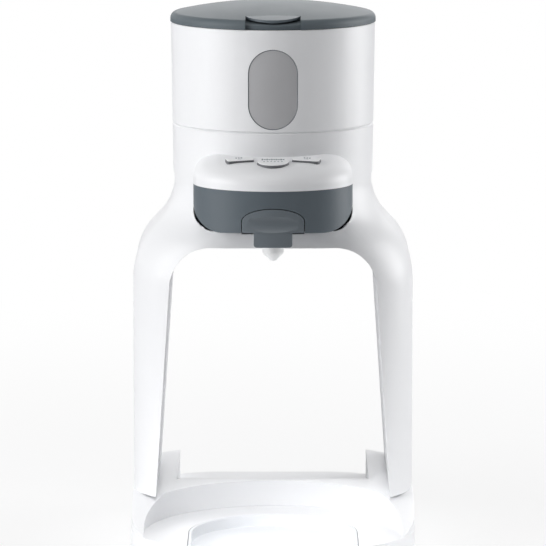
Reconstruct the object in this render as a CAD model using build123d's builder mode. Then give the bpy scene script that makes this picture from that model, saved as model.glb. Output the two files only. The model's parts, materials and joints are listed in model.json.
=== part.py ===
"""Baby formula maker, in millimetres: +Z up, front towards -Y.

The drum axis is X = 0, Y = 0 and the floor is Z = 0.  The machine reaches as far in
front of that axis as behind it, so the origin is also the middle of its footprint.
"""
from build123d import *
import os
from math import atan2, cos, degrees, radians, sin, sqrt, tan

os.makedirs("parts", exist_ok=True)

# ------------------------------------------------------------------ driving dimensions
wall = 2.5              # wall of the large mouldings
thin_wall = 1.8         # wall of the small mouldings
fit_gap = 0.3           # room round a piece that lifts, slides or is soft
shaft_gap = 0.05        # room round a running shaft
cut_room = 5.0          # how far a cutter runs past the piece that it cuts

reach = 122.0           # drum axis to the front of the base, and to the back of the tank
base_half_width = 86.5
base_rear = 104.0
base_front_corner = 62.0
base_rear_corner = 52.0
foot_height = 3.0
plate_thickness = 2.0
ring_z = 18.0           # level of the flat ring round the bottle's place

dish_radius = 78.0      # round wall behind the bottle
dish_y = -78.0
dish_wall_height = 16.0
rim_start_y = -36.0     # the wall's top slopes down from here to the front
rim_end_y = -92.0
chute_half_width = 60.0
chute_start_y = 4.0
chute_slope = 0.2

seat_radius = 49.0      # bottle's place, a U that is open to the front
seat_y = -75.0
seat_depth = 7.0
tray_wall = 2.0
tray_floor = 2.0
tray_lip = 2.4

leg_step = 0.5          # arch body, set in from the base's side
leg_half_width = base_half_width - leg_step
shoulder_radius = 46.0
neck_radius = 60.6
neck_blend_radius = 41.0
neck_band = 3.0
leg_front = 64.0
leg_rear = 98.0
leg_corner = 50.0
neck_rear = 84.6
neck_corner = 59.6
arch_split_y = 12.0
arch_levels = 8
hose_hole_radius = 4.5
hose_z = 214.0

bay_top_z = 190.0       # bay that the bottle stands in
bay_top_half_width = 61.2
bay_foot_half_width = 72.0
bay_corner = 26.0

drum_z = 229.0          # bottom edge of the drum, and parting line of the head
seam_z = 259.5          # seam below the powder hopper
rim_z = 321.5           # rim of the drum, under the lid
drum_foot_radius = 61.2
drum_seam_radius = 61.7
drum_rim_radius = 62.5
seam_chamfer = 0.7

head_half_width = 48.0  # control head in front of the drum
head_length = 39.0
head_widest_y = -57.0
head_back_y = -38.0
ledge_z = 245.2         # ledge height where it leaves the drum
ledge_y = -61.5
ledge_angle = 7.0
head_round_z = 232.0    # where the shoulder between the head's side and its ledge starts
head_round_side = 20.0  # how far in the shoulder reaches at the sides
head_round_front = 14.0
head_round_steps = 6
head_foot_z = 204.0     # underside of the head at its very front
head_foot_round = 18.0  # lower corners of the head, seen from the front
head_foot_rise = 0.105  # how steeply the underside rises to the front
gasket_front_y = -43.5
gasket_corner = 15.0    # tighter than the head's own corner, so the gasket shows beside it

funnel_y = -71.0        # axis of the funnel, the nozzle and the bottle
funnel_face_half_width = 18.5
funnel_face_z = 218.3
funnel_arch_rise = 7.7   # height of the arch that tops the funnel's face
funnel_gap = 0.5
tongue_half_width = 11.5
tongue_foot_z = 195.3
tongue_round = 1.8
funnel_floor = 2.5
funnel_back_y = -47.0
cup_radius = 15.5
cup_rim_z = 215.0
spout_radius = 5.0
spout_z = 197.5
nozzle_radius = 6.4
nozzle_tip_z = 184.0
nozzle_tip_radius = 1.8
nozzle_bore = 1.1

window_half_width = 15.0
window_height = 48.5
window_z = 285.8
pane_thickness = 1.6

cup_wall = 2.0          # powder hopper
shell_wall = 2.4
cup_drop = 2.5
cup_room = 0.9          # between the hopper's outer shell and its cup, at the seam
cup_outer_radius = drum_seam_radius - shell_wall - cup_room
wheel_radius = 42.0
wheel_thickness = 6.0
wheel_hub_radius = 5.0
pocket_count = 6
pocket_radius = 7.0
pocket_circle = 30.0
hex_across = 6.0
agitator_room = 6.4
agitator_radius = cup_outer_radius - cup_wall - agitator_room

lid_radius = 62.9
lid_band = 1.9
lid_apex_z = 334.0
lid_shoulder = 4.0      # radius of the dome's round shoulder
lid_wall = 2.0
collar_height = 6.0
collar_wall = 1.8
notch_half_width = 16.6
notch_y = -50.0
tab_tip_y = -60.5
hinge_y = 66.0
hinge_z = 321.6
hinge_radius = 2.8
pin_radius = 1.2
knuckle_half = 9.0

tank_half_width = 58.0
tank_top_z = 309.0
tank_wall = 2.0
tank_corner = 30.0
drum_room = 3.4         # between drum and tank
dock_top_z = 232.0
corbel_foot_z = 204.0
valve_inset = 25.0
valve_y = reach - valve_inset
valve_radius = 6.0
tank_lid_height = 5.0

button_travel = 0.8
disc_radius = 9.3
disc_y = -77.0
disc_rise = 1.5
key_length = 16.4
key_depth = 8.0
key_x = 20.0
key_y = -70.5
key_turn = 14.0
key_rise = 1.4
key_round = 1.6


def write(piece, name):
    """Label a finished piece and write its STEP file."""
    piece.part.label = name
    export_step(piece.part, f"parts/{name}.step")


# ------------------------------------------------------------------ base
def base_plan(inset=0.0):
    """Outline of the base, drawn in by inset."""
    with BuildSketch() as plan:
        with Locations((0, inset - reach)):
            Rectangle(
                2 * (base_half_width - inset),
                reach + base_rear - 2 * inset,
                align=(Align.CENTER, Align.MIN),
            )
        fillet(plan.vertices().group_by(Axis.Y)[0], base_front_corner - inset)
        fillet(plan.vertices().group_by(Axis.Y)[-1], base_rear_corner - inset)
    return plan.sketch


def seat_plan(grow=0.0, front=reach + cut_room):
    """The U of the bottle's place, let out by grow, with its open end at Y = -front."""
    with BuildSketch() as plan:
        with Locations((0, seat_y)):
            Circle(seat_radius + grow)
            Rectangle(
                2 * (seat_radius + grow), front + seat_y, align=(Align.CENTER, Align.MAX)
            )
    return plan.sketch


def dish_plan(grow=0.0):
    """The round of the dish, let out by grow and run on past the front."""
    with BuildSketch() as plan:
        with Locations((0, dish_y)):
            Circle(dish_radius + grow)
            Rectangle(2 * (dish_radius + grow), reach, align=(Align.CENTER, Align.MAX))
    return plan.sketch


tray_z = ring_z - seat_depth - tray_floor
pocket_z = tray_z - fit_gap
pocket_grow = tray_wall + fit_gap
plate_z = foot_height + plate_thickness
front_screw_side = 16.5
front_screw_back = 64.0
rear_screw_side = 30.5
rear_screw_front = 34.0
front_foot_side = 26.5
front_foot_back = 38.0
rear_foot_side = 42.5
rear_foot_front = 24.0
front_screw_x = base_half_width - front_screw_side
front_screw_y = front_screw_back - reach
rear_screw_x = base_half_width - rear_screw_side
rear_screw_y = base_rear - rear_screw_front
front_foot_x = base_half_width - front_foot_side
front_foot_y = front_foot_back - reach
rear_foot_x = base_half_width - rear_foot_side
rear_foot_y = base_rear - rear_foot_front
base_screws_at = [
    (-front_screw_x, front_screw_y),
    (front_screw_x, front_screw_y),
    (-rear_screw_x, rear_screw_y),
    (rear_screw_x, rear_screw_y),
]
feet_at = [
    (-front_foot_x, front_foot_y),
    (front_foot_x, front_foot_y),
    (-rear_foot_x, rear_foot_y),
    (rear_foot_x, rear_foot_y),
]
boss_radius = 4.0
screw_radius = 1.5
screw_head_radius = 2.8
screw_head = 1.2
screw_length = 9.0
pilot_radius = screw_radius + shaft_gap
foot_radius = 8.0
stem_radius = 3.0
stem_snap = 0.6
inlet_width = 21.0
inlet_height = 9.6
inlet_depth = 16.0
inlet_lift = 0.3
inlet_z = plate_z + inlet_lift

with BuildPart() as base_shell:
    with BuildSketch(Plane.XY.offset(foot_height)):
        add(base_plan())
    extrude(amount=ring_z - foot_height)
    with BuildSketch(Plane.XY.offset(foot_height)):
        add(base_plan(wall))
    extrude(amount=ring_z - wall - foot_height, mode=Mode.SUBTRACT)
    with BuildSketch(Plane.XY.offset(pocket_z - wall)):
        add(seat_plan(pocket_grow + wall))
        add(base_plan(wall / 2), mode=Mode.INTERSECT)
    extrude(amount=ring_z - wall / 2 - pocket_z + wall)
    with BuildSketch(Plane.XY.offset(plate_z)):
        with Locations(*base_screws_at):
            Circle(boss_radius)
    extrude(amount=ring_z - wall - plate_z)
    with BuildSketch(Plane.XY.offset(pocket_z)):
        add(seat_plan(pocket_grow))
    extrude(amount=ring_z, mode=Mode.SUBTRACT)
    with BuildSketch(Plane.XY.offset(plate_z)):
        with Locations(*base_screws_at):
            Circle(pilot_radius)
    extrude(amount=screw_length, mode=Mode.SUBTRACT)
    with Locations((0, base_rear, inlet_z - fit_gap / 2)):
        Box(
            inlet_width + fit_gap,
            4 * wall,
            inlet_height + fit_gap,
            align=(Align.CENTER, Align.CENTER, Align.MIN),
            mode=Mode.SUBTRACT,
        )
write(base_shell, "base_shell")

with BuildPart() as base_plate:
    with BuildSketch(Plane.XY.offset(foot_height)):
        add(base_plan(wall + fit_gap / 2))
        with Locations(*base_screws_at):
            Circle(screw_radius + shaft_gap, mode=Mode.SUBTRACT)
        with Locations(*feet_at):
            Circle(stem_radius + shaft_gap, mode=Mode.SUBTRACT)
    extrude(amount=plate_thickness)
write(base_plate, "base_plate")

with BuildPart() as base_screws:
    with BuildSketch(Plane.XY.offset(foot_height - screw_head)):
        with Locations(*base_screws_at):
            Circle(screw_head_radius)
    extrude(amount=screw_head)
    with BuildSketch(Plane.XY.offset(foot_height)):
        with Locations(*base_screws_at):
            Circle(screw_radius)
    extrude(amount=screw_length)
write(base_screws, "base_screws")

with BuildPart() as rubber_feet:
    with BuildSketch():
        with Locations(*feet_at):
            Circle(foot_radius)
    extrude(amount=foot_height)
    chamfer(rubber_feet.edges().group_by(Axis.Z)[0], stem_snap)
    with BuildSketch(Plane.XY.offset(foot_height)):
        with Locations(*feet_at):
            Circle(stem_radius)
    extrude(amount=plate_thickness)
    with BuildSketch(Plane.XY.offset(plate_z)):
        with Locations(*feet_at):
            Circle(stem_radius + stem_snap)
    extrude(amount=stem_snap)
write(rubber_feet, "rubber_feet")


def surround_form(inset=0.0):
    """The raised surround behind and beside the bottle, drawn in by inset."""
    top = ring_z + dish_wall_height - inset
    with BuildPart() as form:
        with BuildSketch(Plane.XY.offset(ring_z)):
            add(base_plan(fit_gap + inset))
            add(dish_plan(inset), mode=Mode.SUBTRACT)
        extrude(amount=dish_wall_height - inset)
        fall = dish_wall_height / (rim_start_y - rim_end_y)
        with BuildSketch(Plane.YZ):
            Polygon(
                (rim_start_y, top),
                (rim_end_y - cut_room, top - fall * (rim_start_y - rim_end_y + cut_room)),
                (-reach - cut_room, ring_z - cut_room),
                (-reach - cut_room, top + cut_room),
                (rim_start_y, top + cut_room),
                align=None,
            )
        extrude(amount=base_half_width, both=True, mode=Mode.SUBTRACT)
        chute_length = base_rear + cut_room - chute_start_y
        with BuildSketch(Plane.YZ):
            Polygon(
                (chute_start_y, top),
                (chute_start_y + chute_length, top - chute_slope * chute_length),
                (chute_start_y + chute_length, top + cut_room),
                (chute_start_y, top + cut_room),
                align=None,
            )
        extrude(amount=chute_half_width + inset, both=True, mode=Mode.SUBTRACT)
    return form.part


with BuildPart() as dish_surround:
    add(surround_form())
    add(surround_form(wall), mode=Mode.SUBTRACT)
write(dish_surround, "dish_surround")

with BuildPart() as drip_tray:
    with BuildSketch(Plane.XY.offset(tray_z)):
        add(seat_plan(tray_wall))
        add(base_plan(fit_gap), mode=Mode.INTERSECT)
    extrude(amount=ring_z - tray_z)
    with BuildSketch(Plane.XY.offset(tray_z + tray_floor)):
        add(seat_plan())
        add(base_plan(fit_gap + tray_wall), mode=Mode.INTERSECT)
    extrude(amount=ring_z, mode=Mode.SUBTRACT)
    with BuildSketch(Plane.XY.offset(tray_z + tray_floor + tray_lip)):
        with Locations((0, -reach)):
            Rectangle(2 * seat_radius, 2 * cut_room * tray_wall)
    extrude(amount=ring_z, mode=Mode.SUBTRACT)
write(drip_tray, "drip_tray")

# ------------------------------------------------------------------ arch body
surround_z = ring_z + dish_wall_height
neck_z = drum_z - neck_band
shoulder_x = leg_half_width - shoulder_radius
blend_x = neck_radius + neck_blend_radius
blend_reach = shoulder_radius + neck_blend_radius
shoulder_z = neck_z - sqrt(blend_reach**2 - (blend_x - shoulder_x) ** 2)
blend_angle = atan2(neck_z - shoulder_z, blend_x - shoulder_x)
blend_z = shoulder_z + shoulder_radius * sin(blend_angle)


def arch_half_width(z):
    """Half width of the arch body at a height: leg, round shoulder, hollow blend, neck."""
    if z <= shoulder_z:
        return leg_half_width
    if z <= blend_z:
        return shoulder_x + sqrt(shoulder_radius**2 - (z - shoulder_z) ** 2)
    if z <= neck_z:
        return blend_x - sqrt(neck_blend_radius**2 - (neck_z - z) ** 2)
    return neck_radius


def arch_section(z, width_z, inset):
    """Plan of the arch body placed at z, as wide as the body is at width_z, drawn in."""
    half = arch_half_width(width_z)
    share = (half - neck_radius) / (leg_half_width - neck_radius)
    front = neck_radius + share * (leg_front - neck_radius)
    rear = neck_rear + share * (leg_rear - neck_rear)
    corner = neck_corner + share * (leg_corner - neck_corner)
    with BuildSketch(Plane.XY.offset(z)) as section:
        with Locations((0, (rear - front) / 2)):
            RectangleRounded(2 * (half - inset), front + rear - 2 * inset, corner - inset)
    return section.sketch


def arch_form(inset=0.0):
    """The arch body without its bay, drawn in by inset: straight legs, then the loft."""
    with BuildPart() as form:
        extrude(arch_section(surround_z, surround_z, inset), amount=shoulder_z - surround_z)
        for step in range(arch_levels + 1):
            z = shoulder_z + (neck_z - shoulder_z) * step / arch_levels
            add(arch_section(z, z, inset))
        loft()
        extrude(arch_section(neck_z, neck_z, inset), amount=neck_band)
    return form.part


def bay_form(grow=0.0):
    """The bay, let out by grow, run right through from front to back."""
    with BuildPart() as form:
        with BuildSketch(Plane.XZ) as outline:
            Polygon(
                (-bay_foot_half_width - grow, surround_z - cut_room),
                (bay_foot_half_width + grow, surround_z - cut_room),
                (bay_top_half_width + grow, bay_top_z + grow),
                (-bay_top_half_width - grow, bay_top_z + grow),
                align=None,
            )
            fillet(outline.vertices().group_by(Axis.Y)[-1], bay_corner + grow)
        extrude(amount=2 * reach, both=True)
    return form.part


def arch_hollow():
    """The space inside the arch body's skins, open at its foot and its neck."""
    with BuildPart() as form:
        add(arch_form(wall))
        add(bay_form(wall), mode=Mode.SUBTRACT)
    return form.part


def underside_z(y):
    """Height of the head's underside at Y."""
    return head_foot_z - head_foot_rise * (y - head_widest_y + head_length)


def head_front_form(grow, corner):
    """The head's outline from the front, swept along its rising underside, open upwards."""
    with BuildPart() as form:
        with BuildSketch(Plane.XZ) as outline:
            with Locations((0, underside_z(0) - grow)):
                Rectangle(2 * (head_half_width + grow), reach, align=(Align.CENTER, Align.MIN))
            fillet(outline.vertices().group_by(Axis.Y)[0], corner + grow)
        extrude(amount=reach, dir=(0, -1, head_foot_rise))
    return form.part


def funnel_way():
    """The level way out under the rising head for the funnel's floor."""
    way_foot_z = underside_z(funnel_back_y) - fit_gap
    with BuildPart() as form:
        with Locations((0, funnel_back_y + funnel_gap, way_foot_z)):
            Box(
                2 * (funnel_face_half_width + funnel_gap),
                reach,
                head_foot_z - way_foot_z,
                align=(Align.CENTER, Align.MAX, Align.MIN),
            )
    return form.part


def arch_shell(keep):
    """The hollow arch body, cut open for the head, on one side of its split."""
    with BuildPart() as form:
        add(arch_form())
        add(bay_form(), mode=Mode.SUBTRACT)
        add(arch_hollow(), mode=Mode.SUBTRACT)
        add(head_front_form(fit_gap / 2, gasket_corner), mode=Mode.SUBTRACT)
        add(funnel_way(), mode=Mode.SUBTRACT)
        with BuildSketch(Plane.XZ):
            with Locations((0, hose_z)):
                Circle(hose_hole_radius)
        extrude(amount=-reach, mode=Mode.SUBTRACT)
        split(bisect_by=Plane.XZ.offset(-arch_split_y), keep=keep)
    return form.part


with BuildPart() as arch_front:
    add(arch_shell(Keep.TOP))
write(arch_front, "arch_front")

with BuildPart() as arch_rear:
    add(arch_shell(Keep.BOTTOM))
write(arch_rear, "arch_rear")

# ------------------------------------------------------------------ drum foot and head
deck_z = seam_z - wall
port_step = 2.0
port_y = -pocket_circle - port_step
port_radius = 7.5
coupler_hole_radius = 7.5
ledge_rise = tan(radians(ledge_angle))


def frustum_form(foot_radius, foot_z, top_radius, top_z):
    """A solid frustum on the drum axis."""
    with BuildPart() as form:
        with BuildSketch(Plane.XZ):
            Polygon((0, foot_z), (foot_radius, foot_z), (top_radius, top_z), (0, top_z), align=None)
        revolve(axis=Axis.Z)
    return form.part


def head_plan(z, inset=0.0, back=head_back_y):
    """The head's plan at a height: half an ellipse and straight sides to the back."""
    with BuildSketch(Plane.XY.offset(z)) as plan:
        with Locations((0, head_widest_y)):
            Ellipse(head_half_width - inset, head_length - inset)
            Rectangle(
                2 * (head_half_width - inset), back - head_widest_y, align=(Align.CENTER, Align.MIN)
            )
        with Locations((0, back)):
            Rectangle(2 * reach, reach, align=(Align.CENTER, Align.MIN), mode=Mode.SUBTRACT)
    return plan.sketch


def head_shoulder(share, inset):
    """Section of the head's shoulder at a share of its quarter turn, tilting to the ledge."""
    turn = radians(90 * share)
    side = inset + (head_round_side - inset) * (1 - cos(turn))
    front = inset + (head_round_front - inset) * (1 - cos(turn))
    tilt = radians(ledge_angle) * sin(turn)
    z = head_round_z + (ledge_z - inset - head_round_z) * sin(turn)
    level = Plane((0, ledge_y, z), x_dir=(1, 0, 0), z_dir=(0, -sin(tilt), cos(tilt)))
    with BuildSketch(level) as section:
        with Locations((0, head_widest_y - ledge_y)):
            Ellipse(head_half_width - side, head_length - front)
            Rectangle(
                2 * (head_half_width - side),
                head_back_y - head_widest_y,
                align=(Align.CENTER, Align.MIN),
            )
        with Locations((0, head_back_y - ledge_y)):
            Rectangle(2 * reach, reach, align=(Align.CENTER, Align.MIN), mode=Mode.SUBTRACT)
    return section.sketch


def head_top_form(inset=0.0):
    """The upper half of the head under its sloping ledge, drawn in by inset."""
    with BuildPart() as form:
        for step in range(head_round_steps + 1):
            add(head_shoulder(step / head_round_steps, inset))
        loft()
        extrude(head_plan(drum_z, inset), amount=head_round_z - drum_z)
    return form.part


def ledge_plane(x, y, lift=0.0):
    """Plane on the ledge at X, Y, raised by lift along the ledge's normal."""
    slope = radians(ledge_angle)
    z = ledge_z + ledge_rise * (y - ledge_y)
    return Plane((x, y, z), x_dir=(1, 0, 0), z_dir=(0, -sin(slope), cos(slope))).offset(lift)


def key_outline(side, lift, grow=0.0):
    """A side key's outline on the ledge; side is -1 for the left key and 1 for the right."""
    with BuildSketch(ledge_plane(side * key_x, key_y, lift)) as outline:
        with Locations(Rotation(0, 0, -side * key_turn)):
            RectangleRounded(key_length + 2 * grow, key_depth + 2 * grow, key_round + grow)
    return outline.sketch


board_drop = 9.0
board_thickness = 1.6
board_post_radius = 2.6
board_posts_x = 33.0


def board_posts():
    """The two posts under the ledge that carry the buttons' board."""
    with BuildPart() as form:
        for side in (-1, 1):
            with BuildSketch(ledge_plane(side * board_posts_x, key_y, -board_drop)):
                Circle(board_post_radius)
            extrude(amount=board_drop - wall / 2)
        add(head_top_form(wall / 2), mode=Mode.INTERSECT)
    return form.part


with BuildPart() as control_housing:
    add(frustum_form(drum_foot_radius, drum_z, drum_seam_radius, seam_z))
    chamfer(control_housing.edges().group_by(Axis.Z)[-1], seam_chamfer)
    add(head_top_form())
    add(
        frustum_form(drum_foot_radius - wall, drum_z, drum_seam_radius - wall, deck_z),
        mode=Mode.SUBTRACT,
    )
    add(head_top_form(wall), mode=Mode.SUBTRACT)
    add(board_posts())
    with BuildSketch(Plane.XY.offset(drum_z)):
        Circle(coupler_hole_radius)
        with Locations((0, port_y)):
            Circle(port_radius)
    extrude(amount=reach, mode=Mode.SUBTRACT)
    with BuildSketch(ledge_plane(0, disc_y, -wall - cut_room)):
        Circle(disc_radius + fit_gap)
    extrude(amount=reach, mode=Mode.SUBTRACT)
    for side in (-1, 1):
        extrude(key_outline(side, -wall - cut_room, fit_gap), amount=reach, mode=Mode.SUBTRACT)
write(control_housing, "control_housing")


def head_foot_form(inset=0.0):
    """The lower half of the head with its round corners, drawn in by inset."""
    foot_z = underside_z(head_back_y)
    with BuildPart() as form:
        extrude(head_plan(foot_z, inset), amount=drum_z - foot_z)
        add(head_front_form(-inset, head_foot_round), mode=Mode.INTERSECT)
    return form.part


def funnel_face_form(grow=0.0):
    """The block that the funnel's face is cut from, let out by grow, seen from the front."""
    with BuildPart() as form:
        with BuildSketch(Plane.XZ):
            with Locations((0, funnel_face_z - funnel_arch_rise)):
                Ellipse(funnel_face_half_width + grow, funnel_arch_rise + grow)
                Rectangle(
                    2 * (funnel_face_half_width + grow), reach, align=(Align.CENTER, Align.MAX)
                )
        extrude(amount=reach)
    return form.part



def opening_face_cutter():
    """The front part of the funnel's way through the head's wall."""
    with BuildPart() as form:
        add(funnel_face_form(funnel_gap))
        with Locations((0, head_widest_y, 0)):
            Box(
                2 * reach,
                2 * reach,
                4 * reach,
                align=(Align.CENTER, Align.MIN, Align.CENTER),
                mode=Mode.SUBTRACT,
            )
    return form.part


with BuildPart() as dispenser_housing:
    add(head_foot_form())
    add(head_foot_form(wall), mode=Mode.SUBTRACT)
    with Locations((0, gasket_front_y, head_foot_z)):
        Box(2 * reach, reach, reach, align=(Align.CENTER, Align.MIN, Align.CENTER), mode=Mode.SUBTRACT)
    with Locations((0, funnel_back_y + funnel_gap, head_foot_z - 2 * cut_room)):
        Box(
            2 * (funnel_face_half_width + funnel_gap),
            reach,
            wall + 2 * cut_room + fit_gap,
            align=(Align.CENTER, Align.MAX, Align.MIN),
            mode=Mode.SUBTRACT,
        )
    add(opening_face_cutter(), mode=Mode.SUBTRACT)
write(dispenser_housing, "dispenser_housing")

with BuildPart() as head_gasket:
    add(head_front_form(0, gasket_corner))
    add(head_front_form(-wall, head_foot_round), mode=Mode.SUBTRACT)
    with Locations((0, gasket_front_y, drum_z)):
        Box(2 * reach, reach, 2 * reach, align=(Align.CENTER, Align.MAX, Align.CENTER), mode=Mode.SUBTRACT)
    with Locations((0, head_back_y, drum_z)):
        Box(2 * reach, reach, 2 * reach, align=(Align.CENTER, Align.MIN, Align.CENTER), mode=Mode.SUBTRACT)
    with Locations((0, 0, drum_z)):
        Box(2 * reach, 2 * reach, reach, align=(Align.CENTER, Align.CENTER, Align.MIN), mode=Mode.SUBTRACT)
write(head_gasket, "head_gasket")

# ------------------------------------------------------------------ funnel and nozzle
scoop_radius = 7.0
scoop_depth = 2.0
scoop_z = 209.2
face_depth = 5.0
tongue_depth = 3.0


def head_slab(depth, foot_z, top_z):
    """The head's front skin between two heights, depth thick."""
    with BuildPart() as form:
        extrude(head_plan(foot_z), amount=top_z - foot_z)
        extrude(head_plan(foot_z, depth), amount=top_z - foot_z, mode=Mode.SUBTRACT)
        with Locations((0, head_widest_y, foot_z)):
            Box(2 * reach, reach, reach, align=(Align.CENTER, Align.MIN, Align.CENTER), mode=Mode.SUBTRACT)
    return form.part


def head_front_y(x, depth=0.0):
    """How far forward the head's skin is at X, depth inside it."""
    half = head_half_width - depth
    return head_widest_y - (head_length - depth) * sqrt(1 - (x / half) ** 2)


with BuildPart() as mixing_funnel:
    add(head_slab(face_depth, head_foot_z, funnel_face_z))
    add(funnel_face_form(), mode=Mode.INTERSECT)
    floor_front_y = head_front_y(funnel_face_half_width, wall)
    with BuildSketch(Plane.YZ):
        Polygon(
            (floor_front_y, underside_z(floor_front_y)),
            (funnel_back_y, underside_z(funnel_back_y)),
            (funnel_back_y, head_foot_z + funnel_floor),
            (floor_front_y, head_foot_z + funnel_floor),
            align=None,
        )
    extrude(amount=funnel_face_half_width, both=True)
    with BuildSketch(Plane.XZ.offset(-funnel_y)):
        Polygon(
            (0, spout_z),
            (spout_radius, spout_z),
            (spout_radius, head_foot_z - thin_wall),
            (cup_radius, cup_rim_z - thin_wall),
            (cup_radius, cup_rim_z),
            (0, cup_rim_z),
            align=None,
        )
    revolve(axis=Axis((0, funnel_y, 0), (0, 0, 1)))
    with BuildSketch(Plane.XZ.offset(-funnel_y)):
        Polygon(
            (0, spout_z - cut_room),
            (spout_radius - thin_wall, spout_z - cut_room),
            (spout_radius - thin_wall, head_foot_z),
            (cup_radius - thin_wall, cup_rim_z - thin_wall),
            (cup_radius - thin_wall, cup_rim_z + cut_room),
            (0, cup_rim_z + cut_room),
            align=None,
        )
    revolve(axis=Axis((0, funnel_y, 0), (0, 0, 1)), mode=Mode.SUBTRACT)
    with Locations((0, head_widest_y - head_length - scoop_radius + scoop_depth, scoop_z)):
        Cylinder(scoop_radius, 2 * reach, rotation=(0, 90, 0), mode=Mode.SUBTRACT)
write(mixing_funnel, "mixing_funnel")


def tongue_outline():
    """The pull tongue seen from the front."""
    with BuildSketch(Plane.XZ) as outline:
        with Locations((0, tongue_foot_z)):
            Rectangle(
                2 * tongue_half_width, head_foot_z - tongue_foot_z, align=(Align.CENTER, Align.MIN)
            )
        fillet(outline.vertices().group_by(Axis.Y)[0], tongue_round)
    return outline.sketch


with BuildPart() as pull_tongue:
    extrude(tongue_outline(), amount=reach)
    add(head_slab(tongue_depth, tongue_foot_z, head_foot_z), mode=Mode.INTERSECT)
write(pull_tongue, "pull_tongue")

nozzle_top_z = underside_z(funnel_y + nozzle_radius)
nozzle_waist_z = 188.8

with BuildPart() as nozzle:
    with BuildSketch(Plane.XZ.offset(-funnel_y)):
        Polygon(
            (spout_radius, nozzle_top_z),
            (nozzle_radius, nozzle_top_z),
            (nozzle_radius, nozzle_waist_z),
            (nozzle_tip_radius, nozzle_tip_z),
            (nozzle_bore, nozzle_tip_z),
            (nozzle_bore, nozzle_tip_z + thin_wall),
            (spout_radius - thin_wall, nozzle_waist_z + thin_wall),
            (spout_radius - thin_wall, spout_z),
            (spout_radius, spout_z),
            align=None,
        )
    revolve(axis=Axis((0, funnel_y, 0), (0, 0, 1)))
write(nozzle, "nozzle")

# ------------------------------------------------------------------ buttons and their board
flange = 1.2
flange_thickness = 1.0
switch_height = 3.4
switch_size = 6.0
plunger_radius = 1.6
stem_half = 1.8
stem_foot = -board_drop + switch_height + button_travel + shaft_gap
flange_top = -wall - 2 * fit_gap
disc_switch_step = 5.0
disc_switch_y = disc_y + disc_switch_step

with BuildPart() as start_button:
    with BuildSketch(ledge_plane(0, disc_y, flange_top)):
        Circle(disc_radius)
    extrude(amount=disc_rise - flange_top)
    chamfer(start_button.edges().sort_by(Axis.Z)[-1], fit_gap)
    with BuildSketch(ledge_plane(0, disc_y, flange_top)):
        Circle(disc_radius + flange)
        with Locations((0, -disc_radius)):
            Rectangle(2 * disc_radius + 4 * flange, disc_radius, mode=Mode.SUBTRACT)
    extrude(amount=-flange_thickness)
    with BuildSketch(ledge_plane(0, disc_switch_y, flange_top)):
        Circle(stem_half)
    extrude(amount=stem_foot - flange_top)
write(start_button, "start_button")


def side_key(side):
    """A side key with its lip and stem; side is -1 for the left and 1 for the right."""
    with BuildPart() as key:
        extrude(key_outline(side, flange_top, flange), amount=-flange_thickness)
        add(head_top_form(wall + fit_gap), mode=Mode.INTERSECT)
        extrude(key_outline(side, flange_top), amount=key_rise - flange_top)
        chamfer(key.faces().sort_by(Axis.Z)[-1].edges(), fit_gap)
        with BuildSketch(ledge_plane(side * key_x, key_y, flange_top)):
            Circle(stem_half)
        extrude(amount=stem_foot - flange_top)
    return key.part


with BuildPart() as left_button:
    add(side_key(-1))
write(left_button, "left_button")

with BuildPart() as right_button:
    add(side_key(1))
write(right_button, "right_button")

switches_at = [(-key_x, key_y), (0, disc_switch_y), (key_x, key_y)]
board_depth = 13.0

with BuildPart() as button_board:
    with BuildSketch(ledge_plane(0, key_y, -board_drop)):
        RectangleRounded(2 * (board_posts_x + board_post_radius), board_depth, board_post_radius)
    extrude(amount=-board_thickness)
write(button_board, "button_board")

with BuildPart() as tact_switches:
    for x, y in switches_at:
        with BuildSketch(ledge_plane(x, y, -board_drop)):
            Rectangle(switch_size, switch_size)
        extrude(amount=switch_height - thin_wall)
        with BuildSketch(ledge_plane(x, y, -board_drop)):
            Circle(plunger_radius)
        extrude(amount=switch_height)
write(tact_switches, "tact_switches")

# ------------------------------------------------------------------ powder path and outlets
chute_wall = 1.6
chute_foot_y = -68.0
chute_foot_z = 221.0
chute_foot_radius = 5.5
outlet_x = 10.8
outlet_foot_z = 218.0
outlet_top_z = 230.0
outlet_radius = 3.2
spray_radius = 1.6
outlet_z = 227.0
outlet_pipe_x = 18.0
pipe_radius = 2.0
pipe_bore = 1.2
outlet_plate_z = 222.0
outlet_plate_thickness = 3.0


def chute_form(grow=0.0):
    """The leaning, tapering powder chute as a solid, let out by grow."""
    with BuildPart() as form:
        with BuildSketch(Plane.XY.offset(deck_z)):
            with Locations((0, port_y)):
                Circle(port_radius + grow)
        with BuildSketch(Plane.XY.offset(chute_foot_z)):
            with Locations((0, chute_foot_y)):
                Circle(chute_foot_radius + grow)
        loft()
    return form.part


with BuildPart() as powder_chute:
    add(chute_form(chute_wall))
    add(chute_form(), mode=Mode.SUBTRACT)
write(powder_chute, "powder_chute")

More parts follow.
